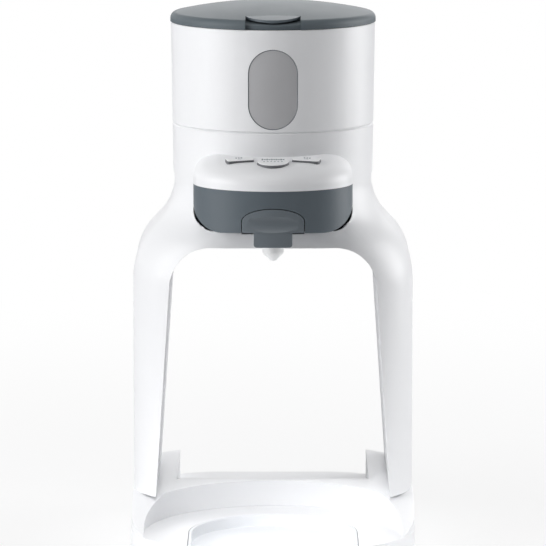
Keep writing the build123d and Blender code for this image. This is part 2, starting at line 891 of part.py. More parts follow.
with BuildPart() as water_outlet:
    with BuildSketch(Plane.XY.offset(outlet_plate_z)):
        with Locations((0, chute_foot_y)):
            Circle(outlet_x)
        with Locations((outlet_x, funnel_y)):
            Circle(outlet_radius)
    extrude(amount=outlet_plate_thickness)
    with BuildSketch(Plane.XY.offset(outlet_foot_z)):
        with Locations((outlet_x, funnel_y)):
            Circle(outlet_radius)
    extrude(amount=outlet_top_z - outlet_foot_z)
    with BuildSketch(Plane.YZ.offset(outlet_x)):
        with Locations((funnel_y, outlet_z)):
            Circle(pipe_radius)
    extrude(amount=outlet_pipe_x - outlet_x)
    with BuildSketch(Plane.YZ.offset(outlet_x)):
        with Locations((funnel_y, outlet_z)):
            Circle(pipe_bore)
    extrude(amount=reach, mode=Mode.SUBTRACT)
    with BuildSketch(Plane.XY.offset(outlet_foot_z)):
        with Locations((outlet_x, funnel_y)):
            Circle(spray_radius)
    extrude(amount=outlet_z - outlet_foot_z, mode=Mode.SUBTRACT)
    add(chute_form(chute_wall + shaft_gap), mode=Mode.SUBTRACT)
write(water_outlet, "water_outlet")

# ------------------------------------------------------------------ powder hopper
hopper_foot_z = seam_z + fit_gap
base_disc_z = hopper_foot_z + thin_wall
wheel_z = base_disc_z + fit_gap
wheel_top_z = wheel_z + wheel_thickness
cup_floor_z = wheel_top_z + fit_gap
cup_inside_z = cup_floor_z + cup_wall
cup_top_z = rim_z - cup_drop
disc_edge = 0.2
hub_rise = 7.0
hub_top_z = cup_inside_z + hub_rise
neck_hub_radius = 4.0
hex_gap = 0.25
fill_port_room = 1.0
socket_depth = 7.5


def window_form(grow=0.0):
    """The upright window's outline run out through the front of the drum."""
    with BuildPart() as form:
        with BuildSketch(Plane.XZ):
            with Locations((0, window_z)):
                SlotOverall(window_height + 2 * grow, 2 * (window_half_width + grow), rotation=90)
        extrude(amount=reach)
    return form.part


def drum_radius(z, inset=0.0):
    """Radius of the hopper's outer face at a height, drawn in by inset."""
    share = (z - seam_z) / (rim_z - seam_z)
    return drum_seam_radius + share * (drum_rim_radius - drum_seam_radius) - inset


def drum_form(inset, foot_z=hopper_foot_z, top_z=rim_z):
    """The hopper's outer form between two heights, drawn in by inset."""
    return frustum_form(drum_radius(foot_z, inset), foot_z, drum_radius(top_z, inset), top_z)


ear_width = 4.5
ear_gap = 0.3
ear_inner = knuckle_half + ear_gap
ear_outer = ear_inner + ear_width
ear_centre = (ear_inner + ear_outer) / 2
lid_foot_z = rim_z + fit_gap


def hinge_barrel(half_length, radius, x=0.0):
    """A barrel on the lid's hinge axis, centred on X."""
    with BuildPart() as form:
        with BuildSketch(Plane.YZ.offset(x - half_length)):
            with Locations((hinge_y, hinge_z)):
                Circle(radius)
        extrude(amount=2 * half_length)
    return form.part


with BuildPart() as hopper_shell:
    add(drum_form(0))
    chamfer(hopper_shell.edges().group_by(Axis.Z)[0], seam_chamfer)
    for side in (-1, 1):
        with Locations((side * ear_centre, hinge_y, rim_z)):
            Box(ear_width, hinge_y, hinge_radius, align=(Align.CENTER, Align.MAX, Align.MAX))
        add(hinge_barrel(ear_width / 2, hinge_radius, side * ear_centre))
        add(hinge_barrel(ear_width, pin_radius, side * ear_centre), mode=Mode.SUBTRACT)
    add(drum_form(shell_wall, hopper_foot_z - cut_room, rim_z + cut_room), mode=Mode.SUBTRACT)
    add(window_form(), mode=Mode.SUBTRACT)
write(hopper_shell, "hopper_shell")

pane_inset = 0.4

with BuildPart() as window_pane:
    add(drum_form(pane_inset))
    add(drum_form(pane_inset + pane_thickness), mode=Mode.SUBTRACT)
    add(window_form(), mode=Mode.INTERSECT)
write(window_pane, "window_pane")

with BuildPart() as hopper_cup:
    with BuildSketch(Plane.XY.offset(cup_floor_z)):
        Circle(cup_outer_radius)
    extrude(amount=cup_top_z - cup_floor_z)
    with BuildSketch(Plane.XY.offset(cup_inside_z)):
        Circle(cup_outer_radius - cup_wall)
    extrude(amount=reach, mode=Mode.SUBTRACT)
    with BuildSketch(Plane.XY.offset(cup_floor_z)):
        Circle(neck_hub_radius + fit_gap)
        with Locations((0, pocket_circle)):
            Circle(pocket_radius + fill_port_room)
    extrude(amount=cup_wall, mode=Mode.SUBTRACT)
write(hopper_cup, "hopper_cup")

with BuildPart() as hopper_base:
    with BuildSketch(Plane.XY.offset(hopper_foot_z)):
        Circle(drum_seam_radius - shell_wall - disc_edge)
        Circle(wheel_hub_radius + shaft_gap, mode=Mode.SUBTRACT)
        with Locations((0, port_y)):
            Circle(port_radius, mode=Mode.SUBTRACT)
    extrude(amount=thin_wall)
    with BuildSketch(Plane.XY.offset(base_disc_z)):
        Circle(wheel_radius + fit_gap + thin_wall)
        Circle(wheel_radius + fit_gap, mode=Mode.SUBTRACT)
        Circle(cup_outer_radius)
        Circle(cup_outer_radius - thin_wall, mode=Mode.SUBTRACT)
    extrude(amount=cup_floor_z - base_disc_z)
write(hopper_base, "hopper_base")

with BuildPart() as dosing_wheel:
    with BuildSketch(Plane.XY.offset(wheel_z)):
        Circle(wheel_radius)
        with PolarLocations(pocket_circle, pocket_count, start_angle=90):
            Circle(pocket_radius, mode=Mode.SUBTRACT)
    extrude(amount=wheel_thickness)
    with BuildSketch(Plane.XY.offset(hopper_foot_z + disc_edge)):
        Circle(wheel_hub_radius)
    extrude(amount=wheel_z - hopper_foot_z)
    with BuildSketch(Plane.XY.offset(wheel_top_z)):
        Circle(neck_hub_radius)
    extrude(amount=hub_top_z - wheel_top_z)
    with BuildSketch(Plane.XY.offset(hopper_foot_z)):
        RegularPolygon(hex_across / 2 + hex_gap, 6, major_radius=False)
    extrude(amount=socket_depth, mode=Mode.SUBTRACT)
write(dosing_wheel, "dosing_wheel")

agitator_arms = 3
arm_width = 4.0
arm_thickness = 3.0
agitator_lift = 1.0
agitator_z = cup_inside_z + agitator_lift
finger_height = 18.0

with BuildPart() as agitator:
    with BuildSketch(Plane.XY.offset(agitator_z)):
        with PolarLocations(0, agitator_arms):
            Rectangle(agitator_radius, arm_width, align=(Align.MIN, Align.CENTER))
        Circle(neck_hub_radius + thin_wall)
        Circle(neck_hub_radius, mode=Mode.SUBTRACT)
    extrude(amount=arm_thickness)
    with BuildSketch(Plane.XY.offset(agitator_z)):
        with PolarLocations(agitator_radius - arm_width, agitator_arms):
            Rectangle(arm_width, arm_width)
    extrude(amount=finger_height)
write(agitator, "agitator")

# ------------------------------------------------------------------ lid
band_z = lid_foot_z + lid_band
collar_gap = 0.5
collar_radius = cup_outer_radius - cup_wall - collar_gap
collar_rise = 4.3
collar_top_z = band_z + collar_rise
tab_half_width = notch_half_width - fit_gap
seal_width = 2.4
seal_thickness = 1.2


dome_rise = lid_apex_z - band_z
cap_radius = (lid_radius**2 + dome_rise**2 - 2 * lid_radius * lid_shoulder) / (
    2 * (dome_rise - lid_shoulder)
)
shoulder_angle = degrees(atan2(cap_radius - dome_rise, lid_radius - lid_shoulder))


def lid_form(inset=0.0):
    """The lid's shallow dome on its upright band, drawn in by inset."""
    with BuildPart() as form:
        with BuildSketch(Plane.XZ):
            with BuildLine():
                foot = Line((0, lid_foot_z), (lid_radius - inset, lid_foot_z))
                Line(foot @ 1, (lid_radius - inset, band_z))
                CenterArc(
                    (lid_radius - lid_shoulder, band_z), lid_shoulder - inset, 0, shoulder_angle
                )
                cap = CenterArc(
                    (0, lid_apex_z - cap_radius),
                    cap_radius - inset,
                    shoulder_angle,
                    90 - shoulder_angle,
                )
                Line(cap @ 1, foot @ 0)
            make_face()
        revolve(axis=Axis.Z)
    return form.part


notch_depth = 2.6
notch_wall = 1.2


def notch_block(grow, foot_z):
    """The block that the thumb notch fills, let out by grow, from foot_z up."""
    with BuildPart() as form:
        with Locations((0, notch_y + grow, foot_z)):
            Box(
                2 * (notch_half_width + grow),
                reach,
                reach,
                align=(Align.CENTER, Align.MAX, Align.MIN),
            )
    return form.part


def notch_form():
    """The thumb notch, whose floor follows the dome."""
    with BuildPart() as form:
        add(notch_block(0, lid_foot_z))
        add(lid_form(notch_depth), mode=Mode.SUBTRACT)
    return form.part


def lid_hollow():
    """The space under the lid's dome, clear of the notch's floor and walls."""
    with BuildPart() as form:
        add(lid_form(lid_wall))
        add(notch_block(notch_wall, lid_foot_z - cut_room), mode=Mode.SUBTRACT)
        add(lid_form(notch_depth + notch_wall))
    return form.part


with BuildPart() as lid_cover:
    add(lid_form())
    add(lid_hollow(), mode=Mode.SUBTRACT)
    with BuildSketch(Plane.XY.offset(lid_foot_z - collar_height)):
        Circle(collar_radius)
        Circle(collar_radius - collar_wall, mode=Mode.SUBTRACT)
    extrude(amount=collar_top_z - lid_foot_z + collar_height)
    add(notch_form(), mode=Mode.SUBTRACT)
    with Locations((0, hinge_y, lid_foot_z)):
        Box(
            2 * knuckle_half,
            hinge_y - lid_radius + lid_wall / 2,
            hinge_z + hinge_radius - lid_foot_z,
            align=(Align.CENTER, Align.MAX, Align.MIN),
        )
    add(hinge_barrel(knuckle_half, hinge_radius))
    add(hinge_barrel(knuckle_half, pin_radius + shaft_gap), mode=Mode.SUBTRACT)
write(lid_cover, "lid_cover")

tab_depth = notch_y - tab_tip_y
tab_radius = (tab_half_width**2 + tab_depth**2) / (2 * tab_depth)
tab_thickness = 1.4

with BuildPart() as lid_tab:
    add(lid_form())
    add(lid_form(tab_thickness), mode=Mode.SUBTRACT)
    with BuildSketch(Plane.XY.offset(band_z)):
        with Locations((0, tab_tip_y + tab_radius)):
            Circle(tab_radius)
        with Locations((0, notch_y)):
            Rectangle(2 * tab_half_width, reach, align=(Align.CENTER, Align.MIN), mode=Mode.SUBTRACT)
            Rectangle(2 * tab_half_width, tab_depth, align=(Align.CENTER, Align.MAX), mode=Mode.INTERSECT)
    extrude(amount=reach, mode=Mode.INTERSECT)
write(lid_tab, "lid_tab")

with BuildPart() as lid_seal:
    with BuildSketch(Plane.XY.offset(cup_top_z + fit_gap)):
        Circle(collar_radius + seal_width)
        Circle(collar_radius, mode=Mode.SUBTRACT)
    extrude(amount=seal_thickness)
write(lid_seal, "lid_seal")

with BuildPart() as lid_hinge_pin:
    add(hinge_barrel(ear_outer, pin_radius))
write(lid_hinge_pin, "lid_hinge_pin")

# ------------------------------------------------------------------ tank dock and water tank
dock_thickness = 3.0
dock_plate_z = dock_top_z - dock_thickness
dock_front_y = 30.0
corbel_slope_depth = 26.0
corbel_slope_y = reach - corbel_slope_depth
corbel_edge_z = 222.0
tank_floor = 2.5
tank_foot_z = dock_top_z + fit_gap
tank_front_y = 40.0
horn_round = 1.5
channel_half_width = 16.0   # channel in the tank's front for the lid's hinge
channel_y = 70.5
valve_seat_depth = 1.6
valve_seat_radius = 10.0
spigot_radius = 3.0
spigot_bore = 2.0
spigot_length = 5.0


def rear_plan(z, inset, clear, front_y):
    """Plan behind the drum placed at z: round-backed, clear of a circle and of front_y."""
    with BuildSketch(Plane.XY.offset(z)) as plan:
        with Locations((0, reach - inset)):
            Rectangle(2 * (tank_half_width - inset), reach, align=(Align.CENTER, Align.MAX))
        fillet(plan.vertices().group_by(Axis.Y)[-1], tank_corner - inset)
        Circle(clear + inset, mode=Mode.SUBTRACT)
        Rectangle(2 * reach, 2 * (front_y + inset), mode=Mode.SUBTRACT)
    return plan.sketch


def tank_plan(z, inset=0.0):
    """Plan of the tank placed at z, with its hinge channel, drawn in by inset."""
    with BuildSketch(Plane.XY.offset(z)) as plan:
        add(rear_plan(z, inset, drum_rim_radius + drum_room, tank_front_y))
        with Locations((0, channel_y + inset)):
            Rectangle(
                2 * (channel_half_width + inset),
                reach,
                align=(Align.CENTER, Align.MAX),
                mode=Mode.SUBTRACT,
            )
    return plan.sketch


def corbel_form(inset=0.0):
    """The bracket under the dock plate, its underside rising to the back."""
    with BuildPart() as form:
        extrude(
            rear_plan(corbel_foot_z, inset, drum_foot_radius, dock_front_y),
            amount=dock_plate_z - corbel_foot_z,
        )
        with BuildSketch(Plane.YZ):
            Polygon(
                (corbel_slope_y, corbel_foot_z + inset),
                (reach + cut_room, corbel_edge_z + inset),
                (reach + cut_room, corbel_foot_z - cut_room),
                (0, corbel_foot_z - cut_room),
                (0, corbel_foot_z + inset),
                align=None,
            )
        extrude(amount=reach, both=True, mode=Mode.SUBTRACT)
    return form.part


with BuildPart() as tank_dock:
    add(corbel_form())
    add(corbel_form(wall), mode=Mode.SUBTRACT)
    add(arch_form(-shaft_gap), mode=Mode.SUBTRACT)
    extrude(
        rear_plan(dock_plate_z, 0, drum_foot_radius + fit_gap, dock_front_y), amount=dock_thickness
    )
    with Locations((0, valve_y, dock_top_z)):
        Cylinder(
            valve_seat_radius,
            valve_seat_depth,
            align=(Align.CENTER, Align.CENTER, Align.MAX),
            mode=Mode.SUBTRACT,
        )
    with Locations((0, valve_y, dock_plate_z)):
        Cylinder(spigot_radius, spigot_length, align=(Align.CENTER, Align.CENTER, Align.MAX))
        Cylinder(spigot_bore, reach, mode=Mode.SUBTRACT)
write(tank_dock, "tank_dock")

seal_gap = 0.3
dock_seal_z = dock_top_z - valve_seat_depth

with BuildPart() as dock_seal:
    with BuildSketch(Plane.XY.offset(dock_seal_z)):
        with Locations((0, valve_y)):
            Circle(valve_seat_radius - seal_gap)
            Circle(valve_radius + seal_gap, mode=Mode.SUBTRACT)
    extrude(amount=valve_seat_depth - seal_gap)
write(dock_seal, "dock_seal")

tank_hinge_y = reach - hinge_radius
tank_lid_z = tank_top_z + fit_gap
tank_hinge_z = tank_lid_z + hinge_radius
tank_ear_x = 24.0
tank_knuckle_half = 10.0
lip_depth = 2.5
lip_gap = 0.6
hinge_room = 1.6
lid_overhang = 1.0
tank_lid_chamfer = 1.0


def tank_barrel(x, half_length, radius):
    """A barrel on the tank lid's hinge axis, centred on X."""
    with BuildPart() as form:
        with BuildSketch(Plane.YZ.offset(x - half_length)):
            with Locations((tank_hinge_y, tank_hinge_z)):
                Circle(radius)
        extrude(amount=2 * half_length)
    return form.part


with BuildPart() as water_tank:
    extrude(tank_plan(tank_foot_z), amount=tank_top_z - tank_foot_z)
    fillet(water_tank.edges().filter_by(Axis.Z).group_by(Axis.Y)[0], horn_round)
    extrude(tank_plan(tank_foot_z + tank_floor, tank_wall), amount=reach, mode=Mode.SUBTRACT)
    with Locations((0, valve_y, tank_foot_z)):
        Cylinder(valve_radius + fit_gap, 2 * cut_room, mode=Mode.SUBTRACT)
    for side in (-1, 1):
        with Locations((side * tank_ear_x, reach, tank_top_z)):
            Box(
                ear_width,
                2 * hinge_radius,
                2 * hinge_radius + fit_gap,
                align=(Align.CENTER, Align.MAX, Align.MIN),
            )
        add(tank_barrel(side * tank_ear_x, ear_width, pin_radius), mode=Mode.SUBTRACT)
write(water_tank, "water_tank")

with BuildPart() as tank_lid:
    extrude(tank_plan(tank_lid_z), amount=tank_lid_height)
    fillet(tank_lid.edges().filter_by(Axis.Z).group_by(Axis.Y)[0], horn_round)
    chamfer(tank_lid.faces().sort_by(Axis.Z)[-1].edges(), tank_lid_chamfer)
    extrude(
        tank_plan(tank_lid_z, tank_wall + lip_gap),
        amount=tank_lid_height - tank_wall,
        mode=Mode.SUBTRACT,
    )
    extrude(tank_plan(tank_lid_z - lip_depth, tank_wall + lip_gap), amount=tank_lid_height)
    extrude(
        tank_plan(tank_lid_z - lip_depth, 2 * tank_wall + lip_gap),
        amount=tank_lid_height - tank_wall + lip_depth,
        mode=Mode.SUBTRACT,
    )
    with Locations((0, reach, tank_lid_z - lip_depth)):
        Box(
            2 * (tank_ear_x + ear_width),
            4 * hinge_radius + 2 * hinge_room,
            reach,
            align=(Align.CENTER, Align.CENTER, Align.MIN),
            mode=Mode.SUBTRACT,
        )
    with Locations((0, tank_hinge_y + lid_overhang, tank_lid_z)):
        Box(
            2 * reach,
            reach,
            reach,
            align=(Align.CENTER, Align.MIN, Align.CENTER),
            mode=Mode.SUBTRACT,
        )
    with Locations((0, tank_hinge_y, tank_lid_z + fit_gap)):
        Box(
            2 * tank_knuckle_half,
            hinge_radius + 2 * hinge_room + tank_wall,
            hinge_radius,
            align=(Align.CENTER, Align.MAX, Align.MIN),
        )
    add(tank_barrel(0, tank_knuckle_half, hinge_radius - fit_gap))
    add(tank_barrel(0, tank_knuckle_half, pin_radius + shaft_gap), mode=Mode.SUBTRACT)
write(tank_lid, "tank_lid")

with BuildPart() as tank_lid_pin:
    add(tank_barrel(0, tank_ear_x + ear_width / 2, pin_radius))
write(tank_lid_pin, "tank_lid_pin")

flange_radius = 9.0
flange_height = 2.0
fin_thickness = 2.0
stem_clear = 1.2
cage_radius = 12.5
cage_height = 16.0
cage_posts = 3
spring_radius = 5.0
wire_radius = 0.5
spring_coils = 4
valve_top_z = tank_foot_z + tank_floor + flange_height
cage_z = tank_foot_z + tank_floor

with BuildPart() as tank_valve:
    with BuildSketch(Plane.XY.offset(cage_z)):
        with Locations((0, valve_y)):
            Circle(flange_radius)
    extrude(amount=flange_height)
    with BuildSketch(Plane.XY.offset(dock_seal_z + stem_clear)):
        with Locations((0, valve_y)):
            Rectangle(2 * (valve_radius - fit_gap), fin_thickness)
            Rectangle(fin_thickness, 2 * (valve_radius - fit_gap))
    extrude(amount=cage_z - dock_seal_z - stem_clear)
write(tank_valve, "tank_valve")

with BuildPart() as valve_cage:
    with BuildSketch(Plane.XY.offset(cage_z)):
        with Locations((0, valve_y)):
            Circle(cage_radius)
            Circle(cage_radius - tank_wall, mode=Mode.SUBTRACT)
    extrude(amount=tank_wall)
    with BuildSketch(Plane.XY.offset(cage_z)):
        with Locations((0, valve_y)):
            with PolarLocations(cage_radius - tank_wall / 2, cage_posts, start_angle=90):
                Rectangle(tank_wall, 2 * tank_wall)
    extrude(amount=cage_height)
    with BuildSketch(Plane.XY.offset(cage_z + cage_height)):
        with Locations((0, valve_y)):
            Circle(cage_radius)
            Circle(spring_radius / 2, mode=Mode.SUBTRACT)
    extrude(amount=tank_wall)
write(valve_cage, "valve_cage")

spring_length = cage_height - flange_height - 2 * wire_radius

with BuildPart() as valve_spring:
    with BuildLine(Plane((0, valve_y, valve_top_z + wire_radius))):
        coil = Helix(spring_length / spring_coils, spring_length, spring_radius)
    with BuildSketch(coil ^ 0):
        Circle(wire_radius)
    sweep()
write(valve_spring, "valve_spring")

# ------------------------------------------------------------------ drive of the dosing wheel
gearbox_z = 240.0
gearbox_height = 10.0
gearbox_radius = 20.0
can_radius = 14.0
can_foot_z = 214.0
bracket_thickness = 2.0
bracket_post_x = 28.0
bracket_half_depth = 9.0
coupler_radius = 6.5
coupler_z = 252.3
hex_z = 258.3
hex_height = 7.0
shaft_radius = 2.5
shaft_depth = 4.0
gearbox_top_z = gearbox_z + gearbox_height
bracket_top_z = gearbox_top_z + bracket_thickness

with BuildPart() as dosing_motor:
    with BuildSketch(Plane.XY.offset(gearbox_z)):
        Circle(gearbox_radius)
    extrude(amount=gearbox_height)
    with BuildSketch(Plane.XY.offset(can_foot_z)):
        Circle(can_radius)
    extrude(amount=gearbox_z - can_foot_z)
    with Locations((0, 0, gearbox_top_z)):
        Cylinder(
            shaft_radius + shaft_gap,
            shaft_depth + fit_gap,
            align=(Align.CENTER, Align.CENTER, Align.MAX),
            mode=Mode.SUBTRACT,
        )
write(dosing_motor, "dosing_motor")

with BuildPart() as motor_bracket:
    with BuildSketch(Plane.XY.offset(gearbox_top_z)):
        Rectangle(2 * bracket_post_x + bracket_half_depth, 2 * bracket_half_depth)
        Circle(shaft_radius + fit_gap, mode=Mode.SUBTRACT)
    extrude(amount=bracket_thickness)
    with BuildSketch(Plane.XY.offset(bracket_top_z)):
        with Locations((-bracket_post_x, 0), (bracket_post_x, 0)):
            Circle(boss_radius)
    extrude(amount=deck_z - bracket_top_z)
write(motor_bracket, "motor_bracket")

with BuildPart() as drive_coupler:
    with BuildSketch(Plane.XY.offset(gearbox_top_z - shaft_depth)):
        Circle(shaft_radius)
    extrude(amount=coupler_z - gearbox_top_z + shaft_depth)
    with BuildSketch(Plane.XY.offset(coupler_z)):
        Circle(coupler_radius)
    extrude(amount=hex_z - coupler_z)
    with BuildSketch(Plane.XY.offset(hex_z)):
        RegularPolygon(hex_across / 2, 6, major_radius=False)
    extrude(amount=hex_height)
write(drive_coupler, "drive_coupler")

# ------------------------------------------------------------------ water path
frame_z = bay_top_z + wall
frame_thickness = 2.0
frame_half_width = 35.0
frame_front_y = -35.0
frame_rear_y = 80.0
deck_frame_z = frame_z + frame_thickness
pump_x = -22.0
pump_front_y = 19.0
pump_length = 42.0
pump_radius = 12.5
pump_z = 208.0
pump_head = 12.0
impeller_radius = 8.0
impeller_height = 6.0
impeller_blades = 6
port_depth = 6.0
axle_radius = 1.5
axle_length = 7.0
rear_y = pump_front_y + pump_length
heater_x = 22.0
heater_front_y = 17.0
heater_width = 24.0
heater_length = 56.0
heater_height = 24.0
meter_y = 66.0
meter_width = 16.0
meter_length = 14.0
meter_top_z = 221.0
meter_pipe_z = 214.0
hose_radius = 3.0
hose_bore = 2.0
inlet_hose_radius = 4.2
inlet_hose_bore = 3.0
inlet_bend = 5.2
bend = 4.0

with BuildPart() as inner_frame:
    with BuildSketch(Plane.XY.offset(frame_z)):
        with Locations((0, frame_front_y)):
            Rectangle(2 * frame_half_width, frame_rear_y - frame_front_y, align=(Align.CENTER, Align.MIN))
    extrude(amount=frame_thickness)
    for y in (pump_front_y + pump_head, pump_front_y + pump_length - pump_head / 2):
        with Locations((pump_x, y, deck_frame_z)):
            Box(
                2 * pump_radius,
                thin_wall,
                pump_z - deck_frame_z,
                align=(Align.CENTER, Align.CENTER, Align.MIN),
            )
    with BuildSketch(Plane.XZ):
        with Locations((pump_x, pump_z)):
            Circle(pump_radius)
    extrude(amount=-reach, mode=Mode.SUBTRACT)
write(inner_frame, "inner_frame")

with BuildPart() as pump:
    with BuildSketch(Plane.XZ.offset(-pump_front_y)):
        with Locations((pump_x, pump_z)):
            Circle(pump_radius)
    extrude(amount=-pump_length)
    with BuildSketch(Plane.XZ.offset(-pump_front_y - thin_wall)):
        with Locations((pump_x, pump_z)):
            Circle(pump_radius - thin_wall)
    extrude(amount=thin_wall - pump_head, mode=Mode.SUBTRACT)
    with BuildSketch(Plane.XZ.offset(-pump_front_y)):
        with Locations((pump_x, pump_z)):
            Circle(hose_bore)
    extrude(amount=-thin_wall, mode=Mode.SUBTRACT)
    with BuildSketch(Plane.XZ.offset(-rear_y)):
        with Locations((pump_x, pump_z)):
            Circle(hose_bore)
    extrude(amount=port_depth, mode=Mode.SUBTRACT)
    with BuildSketch(Plane.XZ.offset(-pump_front_y - pump_head)):
        with Locations((pump_x, pump_z)):
            Circle(axle_radius)
    extrude(amount=axle_length)
write(pump, "pump")

impeller_y = pump_front_y + thin_wall + (pump_head - thin_wall - impeller_height) / 2
impeller_hub = 3.5
blade_thickness = 1.2

with BuildPart() as pump_impeller:
    with BuildSketch(Plane.XZ.offset(-impeller_y)):
        with Locations((pump_x, pump_z)):
            Circle(impeller_hub)
            with PolarLocations(0, impeller_blades):
                Rectangle(impeller_radius, blade_thickness, align=(Align.MIN, Align.CENTER))
            Circle(axle_radius + shaft_gap, mode=Mode.SUBTRACT)
    extrude(amount=-impeller_height)
write(pump_impeller, "pump_impeller")

with BuildPart() as heater_block:
    with Locations((heater_x, heater_front_y, deck_frame_z)):
        Box(heater_width, heater_length, heater_height, align=(Align.CENTER, Align.MIN, Align.MIN))
    chamfer(heater_block.edges().filter_by(Axis.Y), thin_wall)
write(heater_block, "heater_block")

with BuildPart() as flow_meter:
    with Locations((0, meter_y, deck_frame_z)):
        Box(
            meter_width,
            meter_length,
            meter_top_z - deck_frame_z,
            align=(Align.CENTER, Align.CENTER, Align.MIN),
        )
    chamfer(flow_meter.edges().filter_by(Axis.Z), thin_wall)
write(flow_meter, "flow_meter")


def pipe(radius, points, start, room=bend):
    """A round rod through points, with bends of radius room, along a start plane."""
    with BuildPart() as form:
        with BuildLine():
            path = FilletPolyline(*points, radius=room)
        with BuildSketch(start):
            Circle(radius)
        sweep(path=path)
    return form.part


inlet_path = [
    (0, valve_y, dock_plate_z - spigot_length / 2),
    (0, valve_y, meter_pipe_z),
    (0, meter_y + meter_length / 2, meter_pipe_z),
]
with BuildPart() as inlet_hose:
    add(pipe(inlet_hose_radius, inlet_path, Plane(inlet_path[0]), inlet_bend))
    add(pipe(inlet_hose_bore, inlet_path, Plane(inlet_path[0]), inlet_bend), mode=Mode.SUBTRACT)
write(inlet_hose, "inlet_hose")

pump_path = [(-meter_width / 2, meter_y, pump_z), (pump_x, meter_y, pump_z), (pump_x, rear_y, pump_z)]
pump_start = Plane(pump_path[0], z_dir=(-1, 0, 0))
with BuildPart() as pump_hose:
    add(pipe(hose_radius, pump_path, pump_start))
    add(pipe(hose_bore, pump_path, pump_start), mode=Mode.SUBTRACT)
write(pump_hose, "pump_hose")

loop_y = 9.0
heater_path = [
    (pump_x, pump_front_y, pump_z),
    (pump_x, loop_y, pump_z),
    (heater_x - bend, loop_y, pump_z),
    (heater_x - bend, heater_front_y, pump_z),
]
heater_start = Plane(heater_path[0], z_dir=(0, -1, 0))
with BuildPart() as heater_hose:
    add(pipe(hose_radius, heater_path, heater_start))
    add(pipe(hose_bore, heater_path, heater_start), mode=Mode.SUBTRACT)
write(heater_hose, "heater_hose")

riser_x = heater_x + bend
riser_z = pump_z + bend
riser_y = -30.0
outlet_path = [
    (riser_x, heater_front_y, riser_z),
    (riser_x, riser_y, riser_z),
    (riser_x, funnel_y + pump_head, outlet_z),
    (riser_x, funnel_y, outlet_z),
    (outlet_pipe_x - bend / 2, funnel_y, outlet_z),
]
outlet_start = Plane(outlet_path[0], z_dir=(0, -1, 0))
with BuildPart() as outlet_hose:
    add(pipe(hose_radius, outlet_path, outlet_start))
    add(pipe(hose_bore, outlet_path, outlet_start), mode=Mode.SUBTRACT)
write(outlet_hose, "outlet_hose")

# ------------------------------------------------------------------ electronics
main_board_width = 60.0
main_board_length = 34.0
main_board_y = -15.0
standoff_height = 3.5
standoff_inset = 4.0
main_board_z = deck_frame_z + standoff_height
power_board_width = 70.0
power_board_length = 40.0
board_gap = 2.0
power_board_y = base_rear - inlet_depth - board_gap - power_board_length / 2
power_board_z = plate_z + thin_wall
chip_height = 2.4
chip_side = 12.0
chip_x = -14.0
driver_width = 14.0
driver_length = 9.0
driver_x = 12.0
header_width = 40.0
header_length = 5.0
header_step = 12.0
coil_width = 20.0
coil_length = 22.0
coil_x = -18.0
relay_width = 16.0
relay_length = 12.0
relay_x = 10.0
relay_step = 6.0
can_width = 8.0
can_x = 26.0

with BuildPart() as main_board:
    with BuildSketch(Plane.XY.offset(main_board_z)):
        with Locations((0, main_board_y)):
            Rectangle(main_board_width, main_board_length)
    extrude(amount=board_thickness)
    with BuildSketch(Plane.XY.offset(main_board_z + board_thickness)):
        with Locations((chip_x, main_board_y)):
            Rectangle(chip_side, chip_side)
        with Locations((driver_x, main_board_y)):
            Rectangle(driver_width, driver_length)
        with Locations((0, main_board_y + header_step)):
            Rectangle(header_width, header_length)
    extrude(amount=chip_height)
    with BuildSketch(Plane.XY.offset(deck_frame_z)):
        with Locations((0, main_board_y)):
            with GridLocations(
                main_board_width - 2 * standoff_inset, main_board_length - 2 * standoff_inset, 2, 2
            ):
                Circle(screw_head_radius)
    extrude(amount=standoff_height)
write(main_board, "main_board")

with BuildPart() as power_board:
    with BuildSketch(Plane.XY.offset(plate_z)):
        with Locations((0, power_board_y)):
            with GridLocations(
                power_board_width - 2 * standoff_inset, power_board_length - 2 * standoff_inset, 2, 2
            ):
                Circle(screw_head_radius)
    extrude(amount=thin_wall)
    with BuildSketch(Plane.XY.offset(power_board_z)):
        with Locations((0, power_board_y)):
            Rectangle(power_board_width, power_board_length)
    extrude(amount=board_thickness)
    with BuildSketch(Plane.XY.offset(power_board_z + board_thickness)):
        with Locations((coil_x, power_board_y)):
            Rectangle(coil_width, coil_length)
        with Locations((relay_x, power_board_y + relay_step)):
            Rectangle(relay_width, relay_length)
        with Locations((can_x, power_board_y - relay_step)):
            Circle(can_width / 2)
    extrude(amount=2 * chip_height)
write(power_board, "power_board")

socket_wall = 1.6
contact_radius = 1.2
contact_spacing = 8.0
contact_length = 9.0

with BuildPart() as power_inlet:
    with BuildSketch(Plane.XZ.offset(-base_rear)):
        with Locations((0, inlet_z)):
            Rectangle(inlet_width, inlet_height, align=(Align.CENTER, Align.MIN))
    extrude(amount=inlet_depth)
    with BuildSketch(Plane.XZ.offset(-base_rear)):
        with Locations((0, inlet_z + inlet_height / 2)):
            SlotOverall(inlet_width - 2 * socket_wall, inlet_height - 2 * socket_wall)
    extrude(amount=inlet_depth - socket_wall, mode=Mode.SUBTRACT)
write(power_inlet, "power_inlet")

with BuildPart() as inlet_contacts:
    with BuildSketch(Plane.XZ.offset(-base_rear + inlet_depth - socket_wall)):
        with Locations(
            (-contact_spacing / 2, inlet_z + inlet_height / 2),
            (contact_spacing / 2, inlet_z + inlet_height / 2),
        ):
            Circle(contact_radius)
    extrude(amount=-contact_length)
write(inlet_contacts, "inlet_contacts")
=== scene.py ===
import json
import math

import bmesh
import bpy
from mathutils import Matrix, Vector


